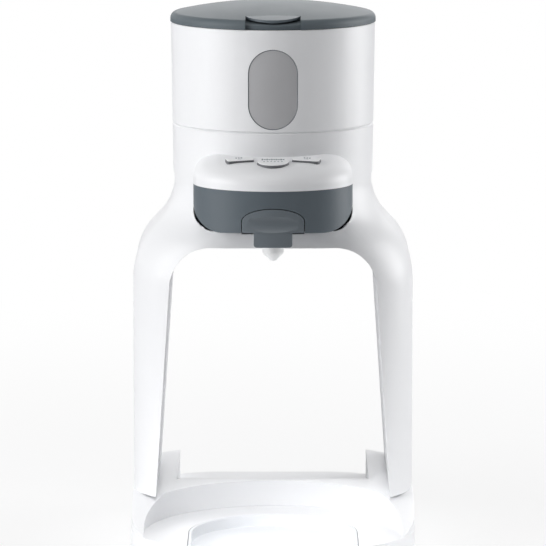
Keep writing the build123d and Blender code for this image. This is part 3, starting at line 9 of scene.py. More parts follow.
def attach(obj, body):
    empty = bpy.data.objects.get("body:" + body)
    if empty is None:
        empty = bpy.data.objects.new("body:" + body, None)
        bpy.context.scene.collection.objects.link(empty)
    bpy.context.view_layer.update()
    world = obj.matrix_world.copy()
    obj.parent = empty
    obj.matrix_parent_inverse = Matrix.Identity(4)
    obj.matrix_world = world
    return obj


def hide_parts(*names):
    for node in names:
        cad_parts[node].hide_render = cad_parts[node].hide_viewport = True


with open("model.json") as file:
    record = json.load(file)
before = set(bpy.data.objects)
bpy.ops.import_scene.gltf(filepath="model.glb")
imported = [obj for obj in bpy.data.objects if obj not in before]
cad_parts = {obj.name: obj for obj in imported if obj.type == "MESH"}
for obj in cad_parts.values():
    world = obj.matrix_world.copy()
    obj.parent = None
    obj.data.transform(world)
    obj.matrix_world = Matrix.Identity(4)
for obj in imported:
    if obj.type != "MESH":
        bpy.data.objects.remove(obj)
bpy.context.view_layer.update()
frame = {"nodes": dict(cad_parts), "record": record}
nodes = frame["nodes"]
mm = 0.001
print("frame loaded,", len(nodes), "nodes")

bodyOf = {}
for bodyName, members in frame["record"]["behaviour"]["bodies"].items():
    for member in members:
        bodyOf[member] = bodyName
slotOf = {part["node"]: part["material_slot"] for part in frame["record"]["subparts"]}


# camera first, at the height and pitch of someone standing a little above the worktop
view = {"place": (0, -2.475, 0.557), "pitchDown": 8.998, "lens": 267.03}
cameraData = bpy.data.cameras.new("camera")
cameraData.lens = view["lens"]
cameraData.sensor_width = 36
cameraData.clip_start = 0.1
cameraData.clip_end = 60
camera = bpy.data.objects.new("camera", cameraData)
camera.location = view["place"]
camera.rotation_euler = (math.radians(90 - view["pitchDown"]), 0, 0)
bpy.context.scene.collection.objects.link(camera)
bpy.context.scene.camera = camera
bpy.context.scene.view_settings.view_transform = "Standard"
print("camera placed")


# ---- shared shader groups
def newGroup(name, takes, gives):
    group = bpy.data.node_groups.new(name, "ShaderNodeTree")
    for label, kind, value in takes:
        socket = group.interface.new_socket(name=label, in_out="INPUT", socket_type=kind)
        socket.default_value = value
    for label, kind in gives:
        group.interface.new_socket(name=label, in_out="OUTPUT", socket_type=kind)
    return group, group.nodes.new("NodeGroupInput"), group.nodes.new("NodeGroupOutput")


def addNode(tree, kind, place=(0, 0), **settings):
    node = tree.nodes.new(kind)
    node.location = place
    for key, value in settings.items():
        setattr(node, key, value)
    return node


def addNoise(tree, vector, scale, detail, place):
    noise = addNode(tree, "ShaderNodeTexNoise", place)
    tree.links.new(vector, noise.inputs["Vector"])
    noise.inputs["Detail"].default_value = detail
    if isinstance(scale, (int, float)):
        noise.inputs["Scale"].default_value = scale
    else:
        tree.links.new(scale, noise.inputs["Scale"])
    return noise.outputs["Fac"]


def addMath(tree, operation, first, second, place, clamp=False, third=None):
    node = addNode(tree, "ShaderNodeMath", place, operation=operation, use_clamp=clamp)
    for index, value in enumerate((first, second, third)):
        if value is None:
            continue
        if isinstance(value, (int, float)):
            node.inputs[index].default_value = value
        else:
            tree.links.new(value, node.inputs[index])
    return node.outputs[0]


def addMix(tree, factor, first, second, place, blend="MIX"):
    node = addNode(tree, "ShaderNodeMix", place, data_type="RGBA", blend_type=blend)
    for index, value in ((0, factor), (6, first), (7, second)):
        if hasattr(value, "node"):
            tree.links.new(value, node.inputs[index])
        else:
            node.inputs[index].default_value = value
    return node.outputs[2]


def buildMouldedSkin():
    group, entry, leave = newGroup(
        "mouldedSkin",
        [
            ("Colour", "NodeSocketColor", (0.8, 0.8, 0.8, 1)),
            ("Tone", "NodeSocketFloat", 0.03),
            ("Patch Scale", "NodeSocketFloat", 14.0),
            ("Grain Scale", "NodeSocketFloat", 2600.0),
            ("Grain", "NodeSocketFloat", 0.1),
            ("Roughness", "NodeSocketFloat", 0.3),
            ("Rough Drift", "NodeSocketFloat", 0.06),
        ],
        [("Colour", "NodeSocketColor"), ("Roughness", "NodeSocketFloat"), ("Normal", "NodeSocketVector")],
    )
    where = addNode(group, "ShaderNodeTexCoord", (-900, 0)).outputs["Object"]
    patch = addNoise(group, where, entry.outputs["Patch Scale"], 2.0, (-700, 200))
    swing = addMath(group, "SUBTRACT", patch, 0.5, (-520, 200))
    value = addMath(group, "MULTIPLY_ADD", swing, entry.outputs["Tone"], (-340, 200), third=1.0)
    tint = addNode(group, "ShaderNodeHueSaturation", (-160, 200))
    group.links.new(value, tint.inputs["Value"])
    group.links.new(entry.outputs["Colour"], tint.inputs["Color"])
    group.links.new(tint.outputs["Color"], leave.inputs["Colour"])
    handled = addNoise(group, where, 55.0, 4.0, (-700, -40))
    drift = addMath(group, "SUBTRACT", handled, 0.5, (-520, -40))
    rough = addMath(
        group, "MULTIPLY_ADD", drift, entry.outputs["Rough Drift"], (-340, -40),
        clamp=True, third=entry.outputs["Roughness"],
    )
    group.links.new(rough, leave.inputs["Roughness"])
    grain = addNoise(group, where, entry.outputs["Grain Scale"], 3.0, (-700, -280))
    bump = addNode(group, "ShaderNodeBump", (-340, -280))
    bump.inputs["Distance"].default_value = 0.00006
    group.links.new(entry.outputs["Grain"], bump.inputs["Strength"])
    group.links.new(grain, bump.inputs["Height"])
    group.links.new(bump.outputs["Normal"], leave.inputs["Normal"])
    return group


def buildSettledDust():
    group, entry, leave = newGroup(
        "settledDust",
        [
            ("Colour", "NodeSocketColor", (0.8, 0.8, 0.8, 1)),
            ("Dust Colour", "NodeSocketColor", (0.75, 0.74, 0.72, 1)),
            ("Amount", "NodeSocketFloat", 0.1),
            ("Scale", "NodeSocketFloat", 120.0),
        ],
        [("Colour", "NodeSocketColor"), ("Mask", "NodeSocketFloat")],
    )
    where = addNode(group, "ShaderNodeTexCoord", (-900, 0)).outputs["Object"]
    facing = addNode(group, "ShaderNodeNewGeometry", (-900, -260))
    split = addNode(group, "ShaderNodeSeparateXYZ", (-700, -260))
    group.links.new(facing.outputs["Normal"], split.inputs[0])
    upward = addMath(group, "MAXIMUM", split.outputs["Z"], 0.0, (-520, -260))
    specks = addNoise(group, where, entry.outputs["Scale"], 6.0, (-700, 0))
    lifted = addMath(group, "MULTIPLY_ADD", specks, 2.2, (-520, 0), clamp=True, third=-0.75)
    settled = addMath(group, "MULTIPLY", lifted, upward, (-340, -80))
    mask = addMath(group, "MULTIPLY", settled, entry.outputs["Amount"], (-160, -80), clamp=True)
    mixed = addMix(group, mask, entry.outputs["Colour"], entry.outputs["Dust Colour"], (0, 60))
    group.links.new(mixed, leave.inputs["Colour"])
    group.links.new(mask, leave.inputs["Mask"])
    return group


def buildDrawnMetal():
    group, entry, leave = newGroup(
        "drawnMetal",
        [
            ("Colour", "NodeSocketColor", (0.7, 0.7, 0.7, 1)),
            ("Along", "NodeSocketVector", (3000.0, 60.0, 3000.0)),
            ("Depth", "NodeSocketFloat", 0.15),
            ("Roughness", "NodeSocketFloat", 0.3),
        ],
        [("Colour", "NodeSocketColor"), ("Roughness", "NodeSocketFloat"), ("Normal", "NodeSocketVector")],
    )
    where = addNode(group, "ShaderNodeTexCoord", (-900, 0)).outputs["Object"]
    stretch = addNode(group, "ShaderNodeVectorMath", (-700, 0), operation="MULTIPLY")
    group.links.new(where, stretch.inputs[0])
    group.links.new(entry.outputs["Along"], stretch.inputs[1])
    lines = addNoise(group, stretch.outputs[0], 1.0, 3.0, (-520, 0))
    shade = addMath(group, "MULTIPLY_ADD", lines, 0.3, (-340, 120), third=0.85)
    tint = addNode(group, "ShaderNodeHueSaturation", (-160, 120))
    group.links.new(shade, tint.inputs["Value"])
    group.links.new(entry.outputs["Colour"], tint.inputs["Color"])
    group.links.new(tint.outputs["Color"], leave.inputs["Colour"])
    drift = addMath(group, "SUBTRACT", lines, 0.5, (-340, -40))
    rough = addMath(
        group, "MULTIPLY_ADD", drift, 0.25, (-160, -40), clamp=True, third=entry.outputs["Roughness"]
    )
    group.links.new(rough, leave.inputs["Roughness"])
    bump = addNode(group, "ShaderNodeBump", (-160, -240))
    bump.inputs["Distance"].default_value = 0.00003
    group.links.new(entry.outputs["Depth"], bump.inputs["Strength"])
    group.links.new(lines, bump.inputs["Height"])
    group.links.new(bump.outputs["Normal"], leave.inputs["Normal"])
    return group


def buildBoardTracks():
    group, entry, leave = newGroup(
        "boardTracks",
        [
            ("Mask Colour", "NodeSocketColor", (0.01, 0.1, 0.05, 1)),
            ("Track Colour", "NodeSocketColor", (0.03, 0.2, 0.09, 1)),
            ("Pitch", "NodeSocketFloat", 420.0),
        ],
        [("Colour", "NodeSocketColor"), ("Height", "NodeSocketFloat")],
    )
    where = addNode(group, "ShaderNodeTexCoord", (-900, 0)).outputs["Object"]
    cells = addNode(
        group, "ShaderNodeTexVoronoi", (-700, 0), feature="DISTANCE_TO_EDGE", distance="EUCLIDEAN"
    )
    group.links.new(where, cells.inputs["Vector"])
    group.links.new(entry.outputs["Pitch"], cells.inputs["Scale"])
    cells.inputs["Randomness"].default_value = 0.35
    track = addMath(group, "LESS_THAN", cells.outputs["Distance"], 0.09, (-500, 0))
    mixed = addMix(group, track, entry.outputs["Mask Colour"], entry.outputs["Track Colour"], (-280, 60))
    group.links.new(mixed, leave.inputs["Colour"])
    group.links.new(track, leave.inputs["Height"])
    return group


mouldedSkin = buildMouldedSkin()
settledDust = buildSettledDust()
drawnMetal = buildDrawnMetal()
boardTracks = buildBoardTracks()
print("shader groups built")


# ---- finishes
def rgba(colour):
    return (*colour, 1)


def startMaterial(name):
    material = bpy.data.materials.new(name)
    material.use_nodes = True
    tree = material.node_tree
    tree.nodes.clear()
    output = addNode(tree, "ShaderNodeOutputMaterial", (500, 0))
    shader = addNode(tree, "ShaderNodeBsdfPrincipled", (200, 0))
    tree.links.new(shader.outputs[0], output.inputs["Surface"])
    return material, tree, shader


def useGroup(tree, group, values, place=(-250, 0)):
    node = addNode(tree, "ShaderNodeGroup", place, node_tree=group)
    for label, value in values.items():
        node.inputs[label].default_value = value
    return node


def mouldedPlastic(name, colour, roughness, tone=0.03, patch=14.0, grainScale=2600.0, grain=0.08,
                   drift=0.06, specular=0.5, dust=0.0, clear=0.0, ior=1.49, sheen=0.0):
    material, tree, shader = startMaterial(name)
    skin = useGroup(tree, mouldedSkin, {
        "Colour": rgba(colour), "Tone": tone, "Patch Scale": patch, "Grain Scale": grainScale,
        "Grain": grain, "Roughness": roughness, "Rough Drift": drift,
    })
    shade = skin.outputs["Colour"]
    if dust:
        veil = useGroup(tree, settledDust, {"Amount": dust}, (-20, 220))
        tree.links.new(shade, veil.inputs["Colour"])
        shade = veil.outputs["Colour"]
    tree.links.new(shade, shader.inputs["Base Color"])
    tree.links.new(skin.outputs["Roughness"], shader.inputs["Roughness"])
    tree.links.new(skin.outputs["Normal"], shader.inputs["Normal"])
    shader.inputs["Specular IOR Level"].default_value = specular
    shader.inputs["Transmission Weight"].default_value = clear
    shader.inputs["IOR"].default_value = ior
    shader.inputs["Sheen Weight"].default_value = sheen
    return material


def drawnSteel(name, colour, roughness, along, depth=0.15):
    material, tree, shader = startMaterial(name)
    metal = useGroup(tree, drawnMetal, {
        "Colour": rgba(colour), "Along": along, "Depth": depth, "Roughness": roughness,
    })
    tree.links.new(metal.outputs["Colour"], shader.inputs["Base Color"])
    tree.links.new(metal.outputs["Roughness"], shader.inputs["Roughness"])
    tree.links.new(metal.outputs["Normal"], shader.inputs["Normal"])
    shader.inputs["Metallic"].default_value = 1.0
    return material


def printedBoard(name):
    material, tree, shader = startMaterial(name)
    tracks = useGroup(tree, boardTracks, {})
    tree.links.new(tracks.outputs["Colour"], shader.inputs["Base Color"])
    bump = addNode(tree, "ShaderNodeBump", (-20, -260))
    bump.inputs["Distance"].default_value = 0.00004
    bump.inputs["Strength"].default_value = 0.5
    tree.links.new(tracks.outputs["Height"], bump.inputs["Height"])
    tree.links.new(bump.outputs["Normal"], shader.inputs["Normal"])
    shader.inputs["Roughness"].default_value = 0.32
    return material


finishes = {
    "drumWhite": mouldedPlastic(
        "drumWhite", (0.83, 0.835, 0.85), 0.37, tone=0.015, grain=0.03, specular=0.5
    ),
    "baseWhite": mouldedPlastic(
        "baseWhite", (0.86, 0.865, 0.88), 0.34, tone=0.02, grain=0.08, dust=0.05
    ),
    "trayGrey": mouldedPlastic("trayGrey", (0.76, 0.775, 0.8), 0.42, tone=0.02, grain=0.14, dust=0.05),
    "lidSatin": mouldedPlastic(
        "lidSatin", (0.096, 0.117, 0.131), 0.48, tone=0.08, grain=0.16, specular=0.29
    ),
    "headSatin": mouldedPlastic(
        "headSatin", (0.1, 0.122, 0.14), 0.38, tone=0.08, grain=0.16, specular=0.3
    ),
    "funnelSatin": mouldedPlastic(
        "funnelSatin", (0.13, 0.152, 0.17), 0.32, tone=0.06, grain=0.16, specular=0.4
    ),
    "frostedPane": mouldedPlastic(
        "frostedPane", (0.57, 0.57, 0.585), 0.5, tone=0.05, patch=30, grain=0.2, clear=0.25
    ),
    "nozzleClear": mouldedPlastic(
        "nozzleClear", (0.98, 0.985, 0.985), 0.5, tone=0.01, grain=0.05, clear=0.05, ior=1.41
    ),
    "tankSmoke": mouldedPlastic(
        "tankSmoke", (0.8, 0.84, 0.865), 0.1, tone=0.01, grain=0.02, drift=0.03, clear=0.92
    ),
    "keyWhite": mouldedPlastic("keyWhite", (0.85, 0.855, 0.865), 0.36, tone=0.01, grain=0.1),
    # dark grey for the key flanks: painted shade standing for the shadow on the keys' sides
    "keyFlankShade": mouldedPlastic("keyFlankShade", (0.13, 0.135, 0.145), 0.45, tone=0.03, grain=0.1),
    "markInk": mouldedPlastic("markInk", (0.14, 0.17, 0.19), 0.55, tone=0.05, grain=0.05),
    "innerPlastic": mouldedPlastic("innerPlastic", (0.62, 0.63, 0.64), 0.5, grain=0.15, drift=0.08),
    "darkPlastic": mouldedPlastic("darkPlastic", (0.022, 0.024, 0.027), 0.48, tone=0.2, grain=0.25),
    "softGrey": mouldedPlastic("softGrey", (0.16, 0.175, 0.19), 0.62, tone=0.06, grain=0.25, sheen=0.15),
    "softClear": mouldedPlastic(
        "softClear", (0.78, 0.8, 0.81), 0.42, tone=0.02, grain=0.1, clear=0.35, ior=1.41
    ),
    "footRubber": mouldedPlastic(
        "footRubber", (0.03, 0.03, 0.032), 0.72, tone=0.15, grain=0.5, sheen=0.2, dust=0.15
    ),
    "plainSteel": drawnSteel("plainSteel", (0.62, 0.63, 0.65), 0.3, (2600.0, 2600.0, 80.0)),
    "castHeater": drawnSteel("castHeater", (0.6, 0.61, 0.63), 0.5, (420.0, 420.0, 420.0), depth=0.5),
    "solderBoard": printedBoard("solderBoard"),
    "contactBrass": drawnSteel("contactBrass", (0.72, 0.55, 0.24), 0.22, (1500.0, 60.0, 1500.0)),
}

finishOfSlot = {
    "shell_white": "drumWhite", "base_white": "baseWhite", "tray_grey": "trayGrey", "lid_grey": "lidSatin",
    "head_grey": "headSatin", "funnel_grey": "funnelSatin", "window_grey": "frostedPane",
    "nozzle_clear": "nozzleClear", "tank_clear": "tankSmoke", "key_white": "keyWhite",
    "inner_plastic": "innerPlastic", "dark_plastic": "darkPlastic", "soft_grey": "softGrey",
    "soft_clear": "softClear", "foot_rubber": "footRubber", "steel": "plainSteel",
    "heater_metal": "castHeater", "board_green": "solderBoard", "contact_brass": "contactBrass",
}
for nodeName, part in nodes.items():
    finish = finishes[finishOfSlot[slotOf[nodeName]]]
    if not part.material_slots:
        part.data.materials.append(finish)
    for materialSlot in part.material_slots:
        materialSlot.material = finish
print("finishes assigned")


# ---- making pieces
def placePiece(name, bm, finish, body, replaced=None, smooth=True):
    mesh = bpy.data.meshes.new(name)
    bm.to_mesh(mesh)
    bm.free()
    if "custom_normal" in mesh.attributes:
        mesh.attributes.remove(mesh.attributes["custom_normal"])
    for entry in (finish if isinstance(finish, (list, tuple)) else [finish]):
        mesh.materials.append(finishes[entry])
    for polygon in mesh.polygons:
        polygon.use_smooth = smooth
    piece = bpy.data.objects.new(name, mesh)
    bpy.context.scene.collection.objects.link(piece)
    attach(piece, body)
    if replaced:
        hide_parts(replaced)
    return piece


def roundEdges(piece, width, segments=2, angle=30):
    bevel = piece.modifiers.new("edges", "BEVEL")
    bevel.width = width * mm
    bevel.segments = segments
    bevel.limit_method = "ANGLE"
    bevel.angle_limit = math.radians(angle)
    bevel.miter_outer = "MITER_ARC"
    shading = piece.modifiers.new("shading", "WEIGHTED_NORMAL")
    shading.keep_sharp = True
    shading.weight = 60
    return piece


def copyNode(node):
    bm = bmesh.new()
    bm.from_mesh(nodes[node].data)
    bmesh.ops.remove_doubles(bm, verts=bm.verts, dist=0.000002)
    bmesh.ops.dissolve_limit(
        bm, angle_limit=math.radians(0.6), use_dissolve_boundaries=False, verts=bm.verts, edges=bm.edges
    )
    for face in bm.faces:
        face.material_index = 0
    return bm


def softCopy(node, name, edge, segments=2, angle=30):
    slotName = slotOf[node]
    piece = placePiece(name, copyNode(node), finishOfSlot[slotName], bodyOf[node], node)
    return roundEdges(piece, edge, segments, angle)


mouldings = {
    "base_shell": ("baseTub", 0.6, 3),
    "dish_surround": ("dishSurround", 0.9, 3),
    "drip_tray": ("dripTray", 0.5, 2),
    "arch_front": ("archFront", 0.6, 3),
    "arch_rear": ("archRear", 0.6, 3),
    "control_housing": ("controlHousing", 0.3, 2),
    "dispenser_housing": ("dispenserHousing", 0.35, 2),
    "hopper_shell": ("hopperDrum", 0.35, 2),
    "window_pane": ("windowPane", 0.25, 2),
    "lid_cover": ("lidCover", 0.35, 2),
    "lid_tab": ("lidTab", 0.3, 2),
    "mixing_funnel": ("mixingFunnel", 0.4, 2),
    "pull_tongue": ("pullTongue", 0.5, 2),
    "tank_dock": ("tankDock", 0.6, 3),
    "water_tank": ("waterTank", 0.5, 2),
    "tank_lid": ("tankLid", 0.4, 2),
    "base_plate": ("basePlate", 0.25, 2),
}
for nodeName, (pieceName, edge, segments) in mouldings.items():
    softCopy(nodeName, pieceName, edge, segments)
print("mouldings rounded")


# ---- gasket behind the head, a real part finished near black as painted shade for the shadow in the gap, seen as a thin dark line at its lower corners
corner = {
    "centre": 33.0, "level": 208.92, "rise": 0.105, "push": 1.3,
    "gasket": (12.0, 15.3), "arch": (14.85, 15.45),
}


def openCorner(verts, low, high):
    for vert in verts:
        across = abs(vert.co.x) / mm - corner["centre"]
        down = corner["level"] - (vert.co.z + corner["rise"] * vert.co.y) / mm
        span = math.hypot(across, down)
        if across > 0 and down > 0 and low < span < high:
            push = corner["push"] * 2 * across * down / span ** 3 * mm
            vert.co.x += math.copysign(push * across, vert.co.x)
            vert.co.z -= push * down


bm = copyNode("head_gasket")
openCorner(bm.verts, *corner["gasket"])
# near-black finish on the gasket: painted shade for the shadow in the gap between head and arch
placePiece("headGasket", bm, "darkPlastic", bodyOf["head_gasket"], "head_gasket")
openCorner(bpy.data.objects["archFront"].data.vertices, *corner["arch"])
print("gasket shaped")


# ---- keys: white caps; faces turned away from the ledge's up are painted dark grey, painted shade on the flanks
ledge = {"height": 245.2, "start": -61.5, "tilt": 7.0}


def ledgePlace(x, y, lift=0.0, turn=0.0):
    slope = math.radians(ledge["tilt"])
    z = ledge["height"] + math.tan(slope) * (y - ledge["start"])
    base = Matrix.Translation(Vector((x, y, z)) * mm) @ Matrix.Rotation(slope, 4, "X")
    return base @ Matrix.Rotation(math.radians(turn), 4, "Z") @ Matrix.Translation((0, 0, lift * mm))


ledgeUp = ledgePlace(0, 0).to_3x3() @ Vector((0, 0, 1))
for nodeName, pieceName in (
    ("start_button", "startDisc"), ("left_button", "leftKey"), ("right_button", "rightKey")
):
    bm = copyNode(nodeName)
    bm.normal_update()
    for face in bm.faces:
        # faces not facing up off the ledge take the dark flank finish, painted shade
        face.material_index = 0 if face.normal.dot(ledgeUp) > 0.5 else 1
    cap = placePiece(pieceName, bm, ["keyWhite", "keyFlankShade"], bodyOf[nodeName], nodeName)
    roundEdges(cap, 0.15, 2)


# ---- small printed marks on the keys: plain bars and dashes only
marks = {
    "thick": 0.04,
    "sink": 0.02,
    "discLift": 1.5,
    "discRow": -77.0,
    "keyLift": 1.4,
    "keyPlace": (20.0, -70.5),
    "keyTurn": 14.0,
    "discBars": {"count": 10, "pitch": 1.4, "wide": 1.0, "deep": 3.3, "row": 4.3},
    "discDashes": {"count": 6, "pitch": 2.1, "wide": 1.1, "deep": 1.1, "row": -0.6},
    "keyBars": {"count": 3, "pitch": 1.6, "wide": 1.0, "deep": 1.7, "row": 2.0},
    "keyDash": {"wide": 2.6, "deep": 0.7, "row": -0.6},
}


def addBar(bm, matrix, wide, deep, thick):
    made = bmesh.ops.create_cube(bm, size=1.0)
    scale = Matrix.Diagonal((wide * mm, deep * mm, thick * mm, 1))
    bmesh.ops.transform(bm, matrix=matrix @ scale, verts=made["verts"])


def discMarks():
    bm = bmesh.new()
    lift = marks["discLift"] + marks["thick"] / 2 - marks["sink"]
    for row, uneven in ((marks["discBars"], 0.3), (marks["discDashes"], 0.0)):
        for index in range(row["count"]):
            x = (index - (row["count"] - 1) / 2) * row["pitch"]
            deep = row["deep"] * (1.0 - uneven * (index % 2))
            shift = Matrix.Translation((x * mm, row["row"] * mm, 0))
            addBar(bm, ledgePlace(0, marks["discRow"], lift) @ shift, row["wide"], deep, marks["thick"])
    placePiece("discMarks", bm, "markInk", bodyOf["start_button"], smooth=False)


def keyMarks(name, side):
    bm = bmesh.new()
    lift = marks["keyLift"] + marks["thick"] / 2 - marks["sink"]
    bars, dash = marks["keyBars"], marks["keyDash"]
    across, row = marks["keyPlace"]
    base = ledgePlace(side * across, row, lift, -side * marks["keyTurn"])
    for index in range(bars["count"]):
        x = (index - (bars["count"] - 1) / 2) * bars["pitch"]
        shift = Matrix.Translation((x * mm, bars["row"] * mm, 0))
        addBar(bm, base @ shift, bars["wide"], bars["deep"], marks["thick"])
    shift = Matrix.Translation((0, dash["row"] * mm, 0))
    addBar(bm, base @ shift, dash["wide"], dash["deep"], marks["thick"])
    owner = "left_button" if side < 0 else "right_button"
    placePiece(name, bm, "markInk", bodyOf[owner], smooth=False)


discMarks()
keyMarks("leftKeyMarks", -1)
keyMarks("rightKeyMarks", 1)
print("keys marked")


# ---- turned pieces
def lathe(bm, profile, centre, steps):
    verts = [bm.verts.new(Vector((centre[0] + x, centre[1], z)) * mm) for x, z in profile]
    edges = [bm.edges.new((verts[i], verts[(i + 1) % len(verts)])) for i in range(len(verts))]
    bmesh.ops.spin(
        bm, geom=verts + edges, cent=Vector((centre[0], centre[1], 0)) * mm, axis=(0, 0, 1),
        angle=math.tau, steps=steps, use_merge=True,
    )


def closeUp(bm):
    bmesh.ops.remove_doubles(bm, verts=bm.verts, dist=0.000005)
    bmesh.ops.dissolve_degenerate(bm, dist=0.000002, edges=bm.edges)
    bmesh.ops.recalc_face_normals(bm, faces=bm.faces)


spout = {
    "centre": (0, -71.0),
    "profile": [
        (5.0, 200.7), (6.4, 200.7), (6.4, 189.6), (6.0, 188.4), (2.2, 184.5), (1.6, 184.0),
        (1.1, 184.1), (1.1, 185.8), (3.2, 190.6), (3.2, 197.5), (5.0, 197.5),
    ],
    "collar": 200.0, "back": -64.6, "rise": 0.105, "steps": 56, "edge": 0.3,
}
bm = bmesh.new()
lathe(bm, spout["profile"], spout["centre"], spout["steps"])
for vert in bm.verts:  # the collar follows the sloping floor above it
    if vert.co.z > spout["collar"] * mm:
        vert.co.z += spout["rise"] * (spout["back"] * mm - vert.co.y)
closeUp(bm)
piece = placePiece("dripNozzle", bm, "nozzleClear", bodyOf["nozzle"], "nozzle")
roundEdges(piece, spout["edge"])

feet = {
    "places": [(-60, -84), (60, -84), (-44, 80), (44, 80)],
    "profile": [(3.0, 0.5), (3.6, 0.0), (5.0, 0.0), (5.3, 0.35), (5.8, 0.35), (6.1, 0.0), (7.4, 0.0),
                (8.0, 0.6), (8.0, 3.0), (3.0, 3.0)],
    "plug": [(0.0, 0.5), (3.0, 0.5), (3.0, 5.0), (3.6, 5.0), (3.0, 5.6), (0.0, 5.6)],
    "steps": 40, "edge": 0.15,
}
bm = bmesh.new()
for place in feet["places"]:
    lathe(bm, feet["profile"], place, feet["steps"])
    lathe(bm, feet["plug"], place, feet["steps"])
closeUp(bm)
piece = placePiece("rubberFeet", bm, "footRubber", bodyOf["rubber_feet"], "rubber_feet")
roundEdges(piece, feet["edge"])

screws = {
    "places": [(-70, -58), (70, -58), (-56, 70), (56, 70)],
    "head": 2.8, "foot": 1.8, "rise": 1.2, "slotWide": 0.7, "slotLong": 3.4, "slotDeep": 0.75,
    "shank": [(0.0, 3.0), (1.5, 3.0), (1.5, 11.2), (0.7, 12.0), (0.0, 12.0)],
    "cells": 9, "steps": 20, "edge": 0.1,
}


def screwHead(bm, place):
    cells = screws["cells"]
    made = bmesh.ops.create_grid(bm, x_segments=cells, y_segments=cells, size=screws["head"] * mm)
    sheet = list({face for vert in made["verts"] for face in vert.link_faces})
    for vert in made["verts"]:  # a square grid pushed out to a round rim
        x, y = vert.co.x, vert.co.y
        reach = max(abs(x), abs(y))
        if reach > 0:
            vert.co.xy = Vector((x, y)).normalized() * reach
    half = screws["head"] * mm / cells * 1.2
    longHalf = screws["slotLong"] * mm / 2
    cross = [f for f in sheet if min(abs(f.calc_center_median().x), abs(f.calc_center_median().y)) < half
             and max(abs(f.calc_center_median().x), abs(f.calc_center_median().y)) < longHalf]
    outline = [e for e in {e for f in sheet for e in f.edges} if e.is_boundary]
    side = bmesh.ops.extrude_edge_only(bm, edges=outline)
    wall = [v for v in side["geom"] if isinstance(v, bmesh.types.BMVert)]
    bmesh.ops.translate(bm, verts=wall, vec=(0, 0, screws["rise"] * mm))
    pit = bmesh.ops.extrude_face_region(bm, geom=cross)
    bmesh.ops.delete(bm, geom=cross, context="FACES")
    floor = [v for v in pit["geom"] if isinstance(v, bmesh.types.BMVert)]
    bmesh.ops.translate(bm, verts=floor, vec=(0, 0, screws["slotDeep"] * mm))
    grown = set(made["verts"]) | set(wall) | set(floor)
    bmesh.ops.translate(bm, verts=list(grown), vec=Vector((place[0], place[1], screws["foot"])) * mm)
    bmesh.ops.holes_fill(bm, edges=[e for e in bm.edges if e.is_boundary], sides=0)


bm = bmesh.new()
for place in screws["places"]:
    screwHead(bm, place)
for place in screws["places"]:
    lathe(bm, screws["shank"], place, screws["steps"])
closeUp(bm)
piece = placePiece("baseScrews", bm, "plainSteel", bodyOf["base_screws"], "base_screws")
roundEdges(piece, screws["edge"], 1)
print("turned pieces made")


# ---- thin dark bead sunk in the gap between the window pane and the drum; its dark grey is the bead's own colour and also painted shade for the shadow in that gap
drum = {"seamHeight": 259.5, "seamRadius": 61.7, "rimHeight": 321.5, "rimRadius": 62.5}
bead = {
    "halfWidth": 15.0, "height": 48.5, "centre": 285.8, "wide": 0.55, "sink": 0.38, "thick": 0.5, "steps": 96,
}


def bendOnDrum(bm, sink):
    for vert in bm.verts:
        share = (vert.co.z / mm - drum["seamHeight"]) / (drum["rimHeight"] - drum["seamHeight"])
        skin = drum["seamRadius"] + share * (drum["rimRadius"] - drum["seamRadius"])
        radius = (skin - sink) * mm + vert.co.y
        vert.co.y = -math.sqrt(max(radius * radius - vert.co.x * vert.co.x, 0))


def windowBeadShade():
    bm = bmesh.new()
    stretch = bead["height"] / 2 - bead["halfWidth"]
    inner = bead["halfWidth"] - bead["wide"]
    rings = []
    for index in range(bead["steps"]):
        turn = math.tau * (index + 0.5) / bead["steps"]
        level = bead["centre"] + math.copysign(stretch, math.sin(turn))
        section = (
            (bead["halfWidth"], 0), (bead["halfWidth"], -bead["thick"]), (inner, -bead["thick"]), (inner, 0)
        )
        rings.append([
            bm.verts.new(Vector((radius * math.cos(turn), y, level + radius * math.sin(turn))) * mm)
            for radius, y in section
        ])
    for first, second in zip(rings, rings[1:] + rings[:1]):
        for side in range(4):
            after = (side + 1) % 4
            bm.faces.new((first[side], first[after], second[after], second[side]))
    bendOnDrum(bm, bead["sink"])
    closeUp(bm)
    # dark grey ring: partly the bead's own colour, partly painted shade for the gap round the pane
    placePiece("windowBeadShade", bm, "softGrey", "hopper")


windowBeadShade()
print("window bead made")


# ---- soft lip in the seam between the drum and the head's housing
seamLip = {
    "profile": [(59.6, 259.53), (61.05, 259.53), (61.2, 259.65), (61.05, 259.77), (59.6, 259.77)],
    "steps": 128,
}
bm = bmesh.new()
lathe(bm, seamLip["profile"], (0, 0), seamLip["steps"])
closeUp(bm)
placePiece("seamLip", bm, "drumWhite", "hopper")
print("seam lip made")


# ---- level marks moulded on the tank's side
ticks = {
    "side": 58.0, "y": 74.0, "low": 246.0, "high": 300.0, "count": 10,
    "long": 9.0, "short": 5.0, "thick": 0.3, "proud": 0.15,
}
bm = bmesh.new()
for side in (-1, 1):
    for index in range(ticks["count"]):
        z = ticks["low"] + (ticks["high"] - ticks["low"]) * index / (ticks["count"] - 1)
        length = ticks["long"] if index % 3 == 0 else ticks["short"]
        made = bmesh.ops.create_cube(bm, size=1.0)
        size = Matrix.Diagonal((2 * ticks["proud"] * mm, length * mm, ticks["thick"] * mm, 1))
        where = Matrix.Translation(Vector((side * ticks["side"], ticks["y"] - length / 2, z)) * mm)
        bmesh.ops.transform(bm, matrix=where @ size, verts=made["verts"])
placePiece("tankTicks", bm, "markInk", bodyOf["water_tank"], smooth=False)
print("tank ticks made")


